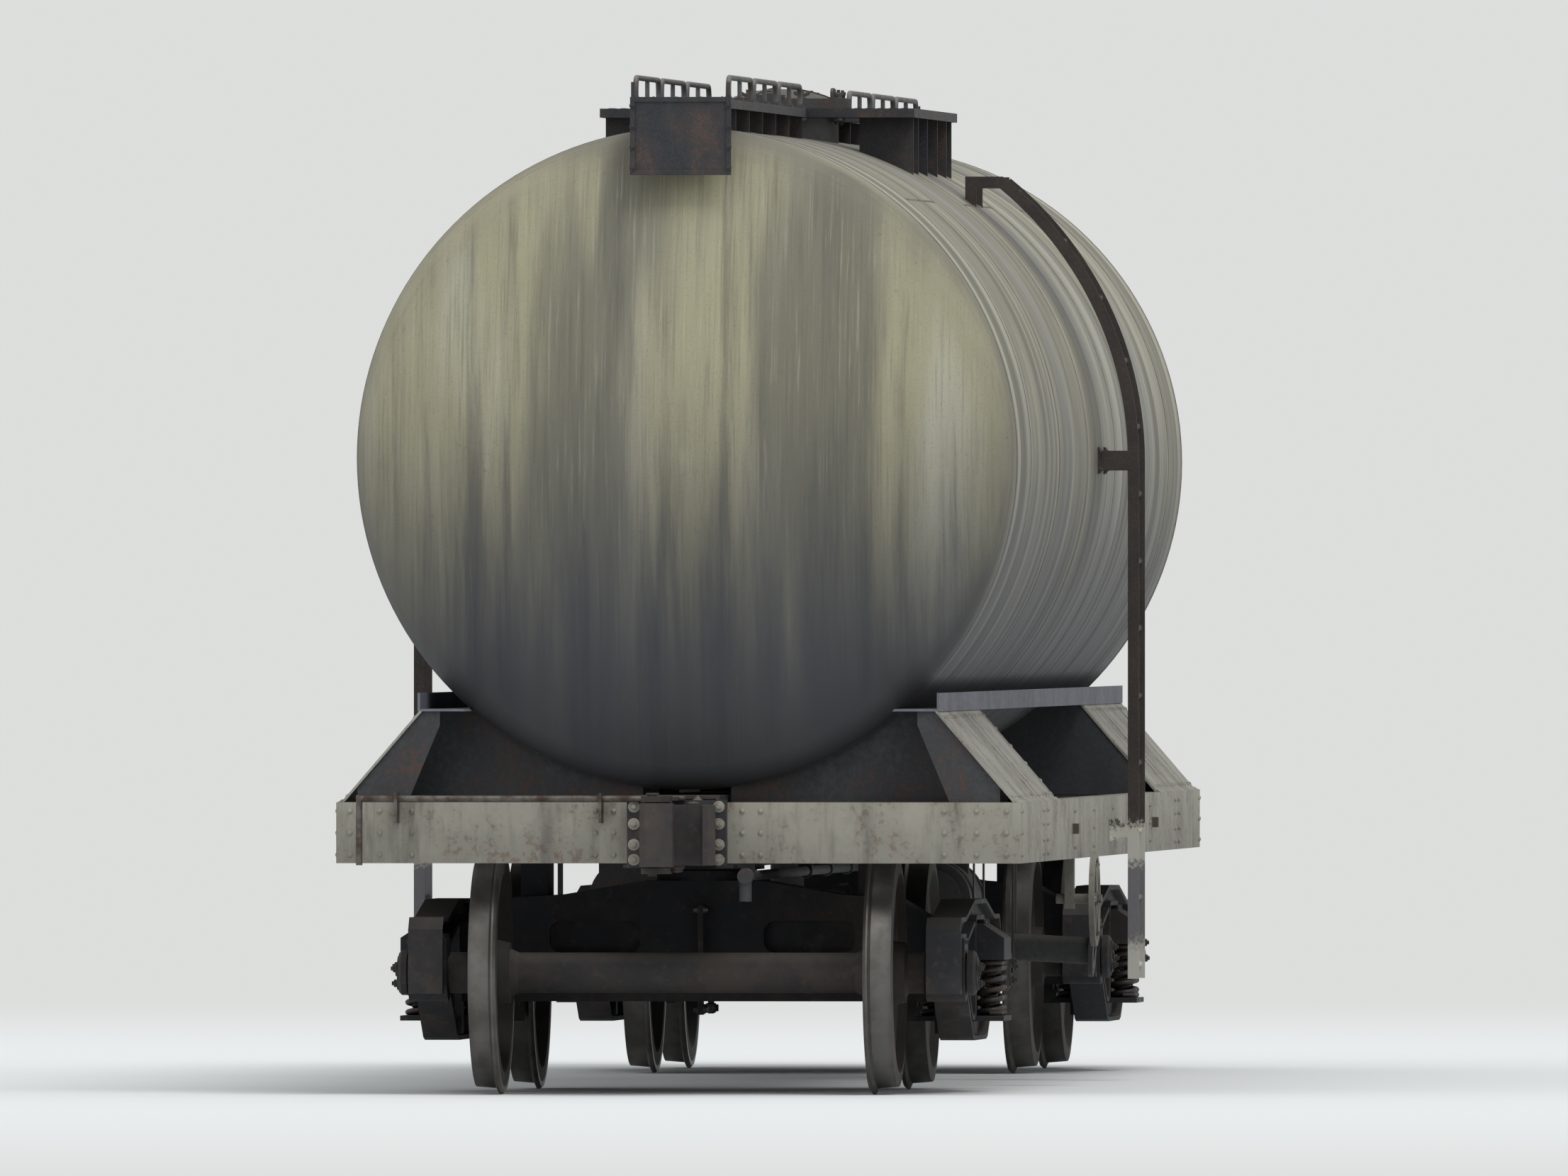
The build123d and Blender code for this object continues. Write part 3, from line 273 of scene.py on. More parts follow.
def slab(shape, low, high):
    """A plate or bar between two corners; the piece's bevel rounds its edges."""
    (x0, y0, z0), (x1, y1, z1) = low, high
    x0, x1 = sorted((x0, x1))
    y0, y1 = sorted((y0, y1))
    z0, z1 = sorted((z0, z1))
    points = [(x, y, z) for z in (z0, z1) for x, y in ((x0, y0), (x1, y0), (x1, y1), (x0, y1))]
    faces = [[3, 2, 1, 0], [4, 5, 6, 7], [0, 1, 5, 4], [1, 2, 6, 5], [2, 3, 7, 6], [3, 0, 4, 7]]
    shape.add(points, faces)


def bolt(shape, at, direction, across=0.024):
    """A hexagon head on a washer, with the end of the bolt standing out."""
    corner = across / 2 / cos(pi / 6)
    head = across * 0.62
    lathe(shape, at, direction, [(-0.002, across), (0.003, across), (0.004, across * 0.93)], 12)
    lathe(shape, at, direction, [(0.002, corner), (head - 0.002, corner), (head, corner * 0.85)], 6)
    lathe(shape, at, direction, [(0.004, across * 0.3), (head + across * 0.3, across * 0.3)], 8)


def rivet(shape, at, direction, radius=0.012):
    """A round rivet head."""
    curve = [(-0.001, radius), (radius * 0.4, radius * 0.88), (radius * 0.66, radius * 0.55)]
    lathe(shape, at, direction, [*curve, (radius * 0.76, 0.0)], 10)


def piece(shape, name, body, material, bevel=0.0):
    """Turn a shape into an object that rides on a body and takes its finish from a slot."""
    mesh = bpy.data.meshes.new(name)
    mesh.from_pydata(shape.points, [], shape.faces)
    mesh.polygons.foreach_set("use_smooth", [True] * len(mesh.polygons))
    mesh.set_sharp_from_angle(angle=radians(38))
    mesh.update()
    made = bpy.data.objects.new(name, mesh)
    bpy.context.scene.collection.objects.link(made)
    mesh.materials.append(material)
    if bevel:
        rounding = made.modifiers.new("edges", "BEVEL")
        rounding.width = bevel
        rounding.segments = 2
        rounding.limit_method = "ANGLE"
        rounding.angle_limit = radians(50)
    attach(made, body)
    return made


def outward(turn):
    """A level direction, at an angle in radians from X."""
    return Vector((cos(turn), sin(turn), 0))


def hoop(shape, at, direction, half, inner, outer, steps):
    """A flat band round a tube: half its width, and its radii inside and outside."""
    edge = [(-half, inner), (-half, outer), (half, outer), (half, inner)]
    lathe(shape, at, direction, edge, steps, caps=False)


def sling(shape, middle, across, radius, top, wire, steps):
    """A round bar bent to a U under a pipe, with its two ends at the height top."""
    middle, across = Vector(middle), Vector(across) * radius
    turns = [pi * step / steps for step in range(-steps, 1)]
    bend = [middle + across * cos(turn) + UP * radius * sin(turn) for turn in turns]
    first, last = [(*(middle + across * way).xy, top) for way in (-1, 1)]
    tube(shape, [first, *bend, last], wire, 8)


# Materials

class Nodes:
    """A node tree under construction."""

    def __init__(self, owner, output):
        owner.use_nodes = True
        self.tree = owner.node_tree
        self.tree.nodes.clear()
        self.output = self.node(output)

    def node(self, kind, **inputs):
        """A new node, with inputs set or linked by name."""
        node = self.tree.nodes.new(kind)
        for name, value in inputs.items():
            self.put(node.inputs[name], value)
        return node

    def put(self, socket, value):
        """Link a socket to another one, or give it a value."""
        if isinstance(value, bpy.types.NodeSocket):
            self.tree.links.new(value, socket)
        else:
            socket.default_value = value

    def show(self, shader):
        """Make a shader's socket the result of the tree."""
        self.put(self.output.inputs["Surface"], shader)

    def split(self, vector):
        node = self.node("ShaderNodeSeparateXYZ")
        self.put(node.inputs[0], vector)
        return node.outputs[0], node.outputs[1], node.outputs[2]

    def math(self, operation, first, second=0.0):
        node = self.node("ShaderNodeMath")
        node.operation = operation
        self.put(node.inputs[0], first)
        self.put(node.inputs[1], second)
        return node.outputs[0]

    def times(self, first, second):
        return self.math("MULTIPLY", first, second)

    def plus(self, first, second):
        return self.math("ADD", first, second)

    def minus(self, first, second):
        return self.math("SUBTRACT", first, second)

    def ramp(self, value, low, high, to_low=0.0, to_high=1.0, kind="LINEAR"):
        """A value that goes from to_low to to_high while another goes from low to high."""
        node = self.node("ShaderNodeMapRange")
        node.interpolation_type = kind
        for socket, given in zip(node.inputs, (value, low, high, to_low, to_high)):
            self.put(socket, given)
        return node.outputs[0]

    def smooth(self, *given):
        """A ramp with a soft start and end."""
        return self.ramp(*given, kind="SMOOTHSTEP")

    def mix(self, share, first, second):
        """One shader passing into another."""
        node = self.node("ShaderNodeMixShader")
        for socket, value in zip(node.inputs, (share, first.outputs[0], second.outputs[0])):
            self.put(socket, value)
        return node.outputs[0]

    def seen(self):
        """1 for rays from the camera, from gloss and through glass, 0 for light that falls on things."""
        rays = self.node("ShaderNodeLightPath").outputs
        direct = self.math("MAXIMUM", rays["Is Camera Ray"], rays["Is Glossy Ray"])
        return self.math("MAXIMUM", direct, rays["Is Transmission Ray"])


class Paint(Nodes):
    """A material under construction: color is its first coat with the later ones over it."""

    def __init__(self, name):
        self.material = bpy.data.materials.new(name)
        super().__init__(self.material, "ShaderNodeOutputMaterial")
        self.shader = self.node("ShaderNodeBsdfPrincipled")
        self.show(self.shader.outputs["BSDF"])
        place = self.node("ShaderNodeTexCoord")
        self.place = place.outputs["Object"]
        self.x, self.y, self.z = self.split(self.place)
        self.up = self.split(place.outputs["Normal"])[2]
        self.color = None

    def join(self, x, y, z):
        node = self.node("ShaderNodeCombineXYZ")
        for socket, value in zip(node.inputs, (x, y, z)):
            self.put(socket, value)
        return node.outputs[0]

    def noise(self, vector, scale, detail=4.0, roughness=0.55):
        node = self.node("ShaderNodeTexNoise", Vector=vector, Scale=scale, Detail=detail, Roughness=roughness)
        return node.outputs["Fac"]

    def blend(self, share, first, second):
        """A colour between two others."""
        node = self.node("ShaderNodeMix")
        node.data_type = "RGBA"
        self.put(node.inputs[0], share)
        self.put(node.inputs[6], first)
        self.put(node.inputs[7], second)
        return node.outputs[2]

    def coat(self, share, colour):
        """A further coat of colour, as dense as share says."""
        self.color = self.blend(share, self.color, colour)

    def bump(self, *layers):
        """Bump from (height, strength, distance) layers, one over the other."""
        normal = None
        for height, strength, distance in layers:
            node = self.node("ShaderNodeBump", Strength=strength, Distance=distance, Height=height)
            if normal is not None:
                self.put(node.inputs["Normal"], normal)
            normal = node.outputs["Normal"]
        self.put(self.shader.inputs["Normal"], normal)

    def surface(self, roughness, metallic=0.0):
        """The finished material."""
        self.put(self.shader.inputs["Base Color"], self.color)
        self.put(self.shader.inputs["Roughness"], roughness)
        self.put(self.shader.inputs["Metallic"], metallic)
        return self.material


def streaks(paint, on_end, angle, width, drop, detail, roughness):
    """Noise drawn out round the curve of the shell, and straight down on the dished ends."""
    round_curve = paint.join(paint.times(paint.x, width), paint.times(angle, drop), 0.0)
    down_end = paint.join(
        paint.times(paint.y, width), paint.times(paint.z, drop),
        paint.math("SIGN", paint.x),
    )
    shell = paint.noise(round_curve, 1.0, detail, roughness)
    dish = paint.noise(down_end, 1.0, detail, roughness)
    change = paint.times(paint.minus(dish, shell), on_end)
    return paint.plus(shell, change)


def band(paint, value, low, high, soft, strength):
    """Strength between two values, falling to 0 over a soft edge outside each."""
    rise = paint.smooth(value, low - soft, low, 0.0, strength)
    return paint.times(rise, paint.smooth(value, high + soft, high))


def tank_paint():
    """Dull khaki paint: bands of dirt round the shell, a darker ring and a painted highlight ring near each
    end, soot and painted shade on the lower part, oil at the manhole.
    """
    paint = Paint("tank_paint")
    reach = paint.math("ABSOLUTE", paint.x)
    height = paint.minus(paint.z, BARREL_Z)
    angle = paint.math("ARCTAN2", paint.y, height)
    on_end = paint.smooth(reach, SHELL_END + 0.02, SHELL_END + 0.22)
    broad = streaks(paint, on_end, angle, 1.9, 0.22, 3.0, 0.5)
    faded = streaks(paint, on_end, angle, 0.8, 0.15, 2.0, 0.5)
    medium = streaks(paint, on_end, angle, 7.0, 0.35, 6.0, 0.62)
    thin = streaks(paint, on_end, angle, 30.0, 0.8, 5.0, 0.7)
    rain = streaks(paint, on_end, angle, 80.0, 1.7, 4.0, 0.7)
    blotch = paint.noise(paint.place, 1.3, 6.0, 0.6)
    speck = paint.noise(paint.place, 26.0, 4.0, 0.6)
    grit = paint.noise(paint.place, 105.0, 4.0, 0.7)
    paint.color = paint.blend(paint.smooth(blotch, 0.3, 0.7), tint(142, 137, 117), tint(122, 118, 102))
    paint.coat(paint.times(on_end, 0.6), tint(150, 145, 115))
    grey = paint.times(paint.smooth(faded, 0.5, 0.62), 0.6)
    paint.coat(grey, tint(126, 126, 124))
    pale = paint.times(paint.smooth(broad, 0.52, 0.64), 0.75)
    paint.coat(pale, tint(164, 161, 145))
    dull = paint.times(paint.smooth(broad, 0.49, 0.37), 0.8)
    paint.coat(dull, tint(92, 90, 79))
    dirty = paint.times(paint.smooth(medium, 0.5, 0.32), 0.55)
    paint.coat(dirty, tint(80, 78, 70))
    paint.coat(band(paint, reach, 4.70, 4.95, 0.10, 0.60), tint(80, 78, 61))
    # Painted highlight: a lighter ring on the shell close to each end, where the shell turns into the dished
    # end
    paint.coat(band(paint, reach, 5.04, 5.14, 0.06, 0.65), tint(168, 165, 148))
    lines = paint.times(paint.smooth(thin, 0.54, 0.7), 0.4)
    paint.coat(lines, tint(70, 68, 61))
    paint.coat(paint.smooth(rain, 0.50, 0.70, 0.0, 0.38), tint(82, 79, 70))
    paint.coat(paint.smooth(rain, 0.46, 0.30, 0.0, 0.30), tint(172, 168, 150))
    paint.coat(paint.smooth(grit, 0.52, 0.72, 0.0, 0.34), tint(84, 80, 70))
    # Soot, and painted shade for the dark underside of the barrel: the lower part grows darker towards the
    # bottom
    ragged = paint.plus(height, paint.times(paint.minus(medium, 0.5), 0.9))
    soot_and_painted_shade = paint.smooth(ragged, 0.6, -1.0, 0.0, 0.93)
    paint.coat(soot_and_painted_shade, tint(50, 52, 59))
    crown = paint.smooth(paint.plus(height, paint.times(thin, 0.3)), 1.36, 1.6, 0.0, 0.5)
    paint.coat(crown, tint(82, 80, 75))
    near_lid = paint.plus(reach, paint.times(thin, 0.9))
    oil = paint.times(paint.smooth(near_lid, 1.1, 0.55), paint.smooth(height, -0.9, 1.1))
    paint.coat(paint.times(oil, 0.65), tint(48, 46, 43))
    rust = paint.times(paint.smooth(speck, 0.6, 0.72), paint.smooth(blotch, 0.5, 0.66))
    paint.coat(paint.times(rust, 0.7), tint(98, 72, 52))
    dry = paint.smooth(medium, 0.3, 0.7, 0.78, 0.56)
    paint.bump((blotch, 0.25, 0.03), (speck, 0.12, 0.004), (grit, 0.12, 0.0008))
    return paint.surface(paint.minus(dry, paint.times(oil, 0.2)))


def steel_paint(name, colour, worn, rusted=0.4, grime=0.5, dust=0.3, scale=1.0, low=0.9, high=1.6, hooks=0.0):
    """Painted steel with rust patches, grime that grows towards the ground and dust on what faces up.

    hooks darkens what stands out from the solebars."""
    paint = Paint(name)
    run = paint.join(
        paint.times(paint.x, 8.0), paint.times(paint.y, 8.0),
        paint.times(paint.z, 1.2),
    )
    patch = paint.noise(paint.place, 2.6 * scale, 6.0, 0.62)
    streak = paint.noise(run, scale, 6.0, 0.7)
    speck = paint.noise(paint.place, 38.0 * scale, 4.0, 0.65)
    paint.color = paint.blend(paint.smooth(patch, 0.32, 0.68), colour, worn)
    dirt = paint.times(paint.smooth(streak, 0.47, 0.7), grime)
    paint.coat(dirt, tint(60, 58, 55))
    below = paint.smooth(paint.plus(paint.z, paint.times(patch, 0.5)), high, low, 0.0, 0.55)
    paint.coat(below, tint(50, 49, 49))
    corroded = paint.times(paint.smooth(paint.times(patch, speck), 0.27, 0.36), rusted)
    paint.coat(corroded, tint(92, 64, 47))
    settled = paint.times(paint.smooth(paint.up, 0.4, 0.95), dust)
    paint.coat(settled, tint(118, 111, 98))
    if hooks:
        outward = paint.math("ABSOLUTE", paint.y)
        proud = paint.smooth(outward, SOLEBAR_Y + 0.001, SOLEBAR_Y + 0.006, 0.0, hooks)
        paint.coat(proud, tint(56, 48, 42))
    paint.bump((patch, 0.2, 0.01), (speck, 0.25, 0.003))
    return paint.surface(paint.smooth(speck, 0.3, 0.7, 0.62, 0.86))


def ladder_paint():
    """Rusty brown above the solebar, and below it greyer, with old pale paint left at both ends."""
    paint = Paint("ladder_paint")
    patch = paint.noise(paint.place, 5.0, 5.0, 0.6)
    speck = paint.noise(paint.place, 60.0, 4.0, 0.6)
    paint.color = paint.blend(paint.smooth(patch, 0.3, 0.7), tint(54, 46, 40), tint(40, 36, 34))
    paint.coat(paint.smooth(speck, 0.58, 0.72, 0.0, 0.7), tint(92, 62, 44))
    edge = paint.plus(paint.z, paint.times(paint.minus(speck, 0.5), 0.15))
    paint.coat(paint.smooth(edge, 1.14, 1.08, 0.0, 0.8), tint(108, 107, 110))
    paint.coat(band(paint, edge, 1.00, 1.12, 0.05, 0.9), tint(176, 174, 163))
    paint.coat(paint.smooth(edge, 0.66, 0.57, 0.0, 0.9), tint(176, 174, 163))
    scuffed = paint.times(paint.smooth(paint.up, 0.5, 0.95), paint.smooth(patch, 0.4, 0.6))
    paint.coat(paint.times(scuffed, 0.5), tint(104, 98, 90))
    paint.bump((speck, 0.35, 0.002))
    return paint.surface(paint.smooth(speck, 0.3, 0.7, 0.6, 0.85))


def cast_steel(name, colour, worn, dust=0.45):
    """Cast steel, sandy surface, nearly black with grime, brake dust in patches."""
    paint = Paint(name)
    patch = paint.noise(paint.place, 4.0, 6.0, 0.65)
    grain = paint.noise(paint.place, 150.0, 3.0, 0.6)
    speck = paint.noise(paint.place, 24.0, 5.0, 0.6)
    paint.color = paint.blend(paint.smooth(patch, 0.3, 0.7), colour, worn)
    brake_dust = paint.noise(paint.place, 1.7, 5.0, 0.7)
    browned = paint.times(paint.smooth(brake_dust, 0.46, 0.64), 0.6)
    paint.coat(browned, tint(66, 56, 49))
    paint.coat(paint.times(paint.smooth(speck, 0.55, 0.72), 0.4), tint(82, 62, 50))
    settled = paint.times(paint.smooth(paint.up, 0.3, 0.9), dust)
    paint.coat(settled, tint(96, 91, 82))
    oily = paint.smooth(patch, 0.58, 0.72)
    paint.bump((speck, 0.3, 0.006), (grain, 0.3, 0.0012))
    return paint.surface(paint.minus(0.82, paint.times(oily, 0.3)))


def wheel_steel(number, axle_x):
    """A wheel: bright where it runs on the rail, brown brake dust and grease elsewhere."""
    paint = Paint(f"wheel_steel_{number}")
    off_x = paint.minus(paint.x, axle_x)
    off_z = paint.minus(paint.z, AXLE_Z)
    squared = paint.plus(paint.times(off_x, off_x), paint.times(off_z, off_z))
    radius = paint.math("SQRT", squared)
    turn = paint.math("ARCTAN2", off_z, off_x)
    patch = paint.noise(paint.place, 5.0, 6.0, 0.6)
    grain = paint.noise(paint.place, 90.0, 3.0, 0.6)
    spoke = paint.noise(paint.join(paint.times(turn, 3.0), paint.times(radius, 2.0),
                                   paint.y), 2.0, 5.0, 0.6)
    tread = paint.smooth(radius, TREAD - 0.0065, TREAD - 0.002)
    paint.color = paint.blend(paint.smooth(patch, 0.3, 0.7), tint(56, 48, 43), tint(40, 38, 37))
    paint.coat(paint.times(paint.smooth(spoke, 0.5, 0.68), 0.6), tint(34, 33, 33))
    rim = paint.smooth(radius, TREAD - 0.07, TREAD - 0.05, 0.0, 0.3)
    paint.coat(rim, tint(78, 72, 66))
    rolled = paint.blend(paint.smooth(patch, 0.35, 0.65), tint(102, 100, 97), tint(80, 77, 73))
    paint.coat(tread, rolled)
    paint.bump((grain, 0.2, 0.0012))
    rough = paint.smooth(radius, TREAD - 0.0065, TREAD - 0.002, 0.78, 0.44)
    return paint.surface(rough, paint.times(tread, 0.75))


def worn_steel(name, colour, roughness=0.5, metallic=0.8):
    """Bare steel darkened by use, for springs, pins and bolts."""
    paint = Paint(name)
    patch = paint.noise(paint.place, 16.0, 5.0, 0.6)
    grain = paint.noise(paint.place, 220.0, 3.0, 0.6)
    paint.color = paint.blend(paint.smooth(patch, 0.35, 0.65), colour, tint(70, 58, 50))
    paint.coat(paint.times(paint.smooth(grain, 0.6, 0.75), 0.5), tint(104, 70, 48))
    paint.bump((grain, 0.25, 0.0006))
    rough = paint.smooth(patch, 0.3, 0.7, roughness - 0.08, roughness + 0.22)
    return paint.surface(rough, metallic)


TANK = tank_paint()
# The weld beads darken towards the bottom of the barrel as the tank paint does there, with soot and painted
# shade
SEAM = steel_paint("seam_paint", tint(104, 100, 87), tint(78, 75, 67), 0.5, 0.5, 0.0, 2.0, 1.4, 3.4)
FRAME_PAINT = steel_paint("frame_paint", tint(148, 145, 132), tint(124, 121, 111), 0.45, 0.5, 0.25)
SOLEBARS = steel_paint("solebar_paint", tint(148, 145, 132), tint(124, 121, 111), 0.45, 0.5, 0.25, hooks=0.9)
CRADLE = steel_paint("cradle_paint", tint(144, 142, 133), tint(118, 116, 108), 0.4, 0.5, 0.2, 1.0, 0.6, 1.3)
# The cradle bands: the cradle's pale paint, darkened and turned bluish as painted shade for the shade under
# the barrel
BANDS_IN_PAINTED_SHADE = steel_paint("band_paint_painted_shade", tint(98, 99, 109), tint(80, 81, 91), 0.3, 0.5, 0.15, 1.0, 0.6, 1.3)
UNDERFLOOR = steel_paint("underfloor_paint", tint(50, 51, 54), tint(38, 39, 43), 0.35, 0.4, 0.25)
WALKWAY = steel_paint("walkway_paint", tint(34, 35, 40), tint(44, 43, 45), 0.45, 0.2, 0.3, 2.0)
HOOPS = steel_paint("hoop_paint", tint(92, 93, 95), tint(64, 64, 67), 0.5, 0.3, 0.9, 2.0)
FITTINGS = steel_paint("fitting_paint", tint(62, 61, 60), tint(46, 45, 46), 0.6, 0.4, 0.3, 3.0)
LADDER = ladder_paint()
CASTING = cast_steel("cast_steel", tint(38, 39, 43), tint(29, 30, 35), 0.35)
BRAKE = cast_steel("brake_steel", tint(48, 45, 44), tint(36, 36, 39), 0.35)
COUPLER = cast_steel("coupler_steel", tint(56, 50, 47), tint(38, 37, 39))
SPRING = worn_steel("spring_steel", tint(56, 55, 57), 0.5, 0.5)
PIN = worn_steel("pin_steel", tint(98, 94, 90), 0.5, 0.7)
WHEELS = {number: wheel_steel(number, turn * BOGIE_X + side * AXLE_REACH) for number, turn, side in AXLES}

NODE_PAINT = {
    "tank_barrel": TANK, "manhole_neck": FITTINGS, "manhole_lid": FITTINGS, "top_valves": FITTINGS,
    "walkway_decks": WALKWAY, "walkway_brackets": WALKWAY, "walkway_end_plates": WALKWAY,
    "walkway_hoops": HOOPS, "ladder_left": LADDER, "ladder_right": LADDER,
    "centre_sill": UNDERFLOOR, "solebars": SOLEBARS, "headstocks": FRAME_PAINT,
    "cross_bearers": UNDERFLOOR, "body_bolsters": UNDERFLOOR, "centre_plates": CASTING,
    "cradle_plates_front": CRADLE, "cradle_plates_rear": CRADLE, "cradle_bands": BANDS_IN_PAINTED_SHADE,
    "saddles": UNDERFLOOR, "draft_gear": CASTING, "strikers": CASTING, "uncoupling_rods": PIN,
    "discharge_pipes": UNDERFLOOR, "brake_cylinder": UNDERFLOOR, "air_reservoir": UNDERFLOOR,
    "brake_pipe": UNDERFLOOR, "brake_rigging": BRAKE, "hand_brake": FRAME_PAINT,
}
for end, _ in ENDS:
    NODE_PAINT[f"side_frames_{end}"] = CASTING
    NODE_PAINT[f"bogie_bolster_{end}"] = CASTING
    NODE_PAINT[f"bearing_adapters_{end}"] = CASTING
    NODE_PAINT[f"springs_{end}"] = SPRING
    NODE_PAINT[f"brake_beams_{end}"] = BRAKE
    NODE_PAINT[f"coupler_{end}"] = COUPLER
    NODE_PAINT[f"knuckle_{end}"] = COUPLER
for number, material in WHEELS.items():
    NODE_PAINT[f"wheels_{number}"] = material
    NODE_PAINT[f"axle_{number}"] = BRAKE
for name, node in frame["nodes"].items():
    node.data.materials.clear()
    node.data.materials.append(NODE_PAINT[name])


# Tank and top

def weld_seams():
    """Weld beads round the barrel at each course of plate, and one along each course."""
    beads = Shape()
    low, high = BARREL_R - 0.001, BARREL_R + 0.0022
    bead = [(-BEAD, low), (-BEAD / 2, high), (BEAD / 2, high), (BEAD, low)]
    ridge = [(-BEAD, 0.0), (BEAD, 0.0), (BEAD / 2, 0.0032), (-BEAD / 2, 0.0032)]
    rings = [-SHELL_END, *(COURSE * step / 2 for step in range(-5, 6, 2)), SHELL_END]
    for ring in rings:
        lathe(beads, (ring, 0, BARREL_Z), (1, 0, 0), bead, 160, caps=False)
    for count, (start, stop) in enumerate(zip(rings, rings[1:])):
        turn = radians(38 if count % 2 else -44)
        out = Vector((0, sin(turn), cos(turn)))
        across = Vector((0, cos(turn), -sin(turn)))
        prism(beads, ridge, Vector((start, 0, BARREL_Z)) + out * low, across, out, stop - start)
    piece(beads, "weld_seams", "car", SEAM)


def dome(reach):
    """Height of the lid's dome above its plate, at a distance from its middle."""
    return DOME_RISE - DOME_R + sqrt(DOME_R ** 2 - reach ** 2)


def manhole_fittings():
    """Wing nuts, a handle and ribs on the lid, and the lugs and studs below its edge on the neck."""
    clamps, lugs = Shape(), Shape()
    nut = [(-0.002, 0.02), (0.004, 0.02), (0.005, 0.013), (0.022, 0.012), (0.026, 0.008), (0.04, 0.008)]
    wing = [(0.009, 0.006), (0.036, 0.016), (0.04, 0.03), (0.032, 0.032), (0.009, 0.02)]
    block = [(-0.018, -0.02), (0.018, -0.02), (0.018, 0.03), (-0.018, 0.03)]
    for degree in (-24, 24, 66, 114, 156, 204):
        out = outward(radians(degree))
        across = Vector((-out.y, out.x, 0))
        stud = out * STUD_R + UP * LID_TOP
        lathe(clamps, stud, UP, nut, 14)
        for way in (-1, 1):
            prism(clamps, wing, stud - across.cross(UP) * 0.003 * way, across * way, UP, 0.006)
        foot = out * LUG_R + UP * LUG_Z
        prism(lugs, block, foot - out * 0.028, across, UP, 0.048)
        tube(lugs, [foot - UP * 0.04, foot + UP * 0.05], 0.008, 8)
        bolt(lugs, foot - UP * 0.02, -UP, 0.022)
    handle = ((-0.07, LID_TOP), (-0.07, 4.412), (-0.055, 4.424),
              (0.055, 4.424), (0.07, 4.412), (0.07, LID_TOP))
    tube(clamps, [(x, HANDLE_Y, z) for x, z in handle], 0.008, 10)
    for degree in (90, 210, 330):
        out = outward(radians(degree))
        rib = [(reach, dome(reach) + 0.007) for reach in (0.05, 0.10, 0.15, 0.20)]
        rib += [(0.236, 0.004), (0.236, -0.003), (0.05, -0.003)]
        start = UP * LID_TOP + Vector((-out.y, out.x, 0)) * 0.005
        prism(clamps, rib, start, out, UP, 0.010)
    piece(clamps, "lid_clamps", "manhole_lid", FITTINGS, 0.0008)
    for side in (-1, 1):
        end_cap = [(-0.002, 0.017), (0.006, 0.017), (0.009, 0.012)]
        lathe(lugs, (side * 0.082, HINGE_Y, HINGE_Z), (side, 0, 0), end_cap, 12)
    piece(lugs, "neck_lugs", "car", FITTINGS, 0.0008)


def valve_fittings():
    """Flange bolts and a cap nut on each valve on top of the barrel, and rings round the large ones."""
    parts = Shape()
    cap = [(-0.001, 0.03), (0.008, 0.03), (0.012, 0.018), (0.02, 0.018), (0.024, 0.012)]
    for valve_x, body, height in VALVES:
        foot = Vector((valve_x, 0, CROWN_Z - 0.004))
        small = body < 0.06
        for step in range(8):
            out = outward(tau * (step + 0.5) / 8)
            bolt(parts, foot + UP * 0.052 + out * (body + 0.015), UP, 0.011 if small else 0.014)
            if not small:
                bolt(parts, foot + UP * (height - 0.022) + out * (body + 0.011), UP, 0.01)
        lathe(parts, foot + UP * height, UP, cap, 6)
        if not small:
            for level in (0.075, 0.1, 0.125):
                hoop(parts, foot + UP * level, UP, 0.004, body - 0.001, body + 0.008, 32)
    piece(parts, "valve_fittings", "car", FITTINGS)


def deck_tread():
    """Raised lozenges of chequer plate on every plank, and the bolts down to the brackets."""
    tread = Shape()
    lozenge = [(-0.019, 0), (0, -0.0045), (0.019, 0), (0, 0.0045)]
    long_start, side_end = WIDE_END + PLANK_GAP, GAP_END - PLANK_GAP
    planks = (
        (long_start, DECK_END, -DECK_HALF, DECK_HALF), (-DECK_END, -long_start, -DECK_HALF, DECK_HALF),
        (GAP_END, WIDE_END, -WIDE_HALF, WIDE_HALF), (-WIDE_END, -GAP_END, -WIDE_HALF, WIDE_HALF),
        (-side_end, side_end, SIDE_PLANK, WIDE_HALF), (-side_end, side_end, -WIDE_HALF, -SIDE_PLANK),
    )
    for x_low, x_high, y_low, y_high in planks:
        columns = int((x_high - x_low - PLANK_MARGIN) / CHEQUER)
        rows = int((y_high - y_low - PLANK_MARGIN) / CHEQUER)
        for column in range(columns):
            for row in range(rows):
                u = outward(radians(45 if (column + row) % 2 else -45))
                v = Vector((-u.y, u.x, 0))
                middle = Vector((
                    (x_low + x_high) / 2 + (column - (columns - 1) / 2) * CHEQUER,
                    (y_low + y_high) / 2 + (row - (rows - 1) / 2) * CHEQUER, DECK_Z - 0.0005,
                ))
                prism(tread, lozenge, middle, u, v, 0.0026)
    for step in range(6):
        for turn in (-1, 1):
            bracket_x = turn * (FIRST_BRACKET + step * BRACKET_PITCH)
            for y in (-0.15, -0.05, 0.05, 0.15):
                bolt(tread, (bracket_x, y, DECK_Z + 0.001), UP, 0.016)
    piece(tread, "deck_tread", "car", WALKWAY)


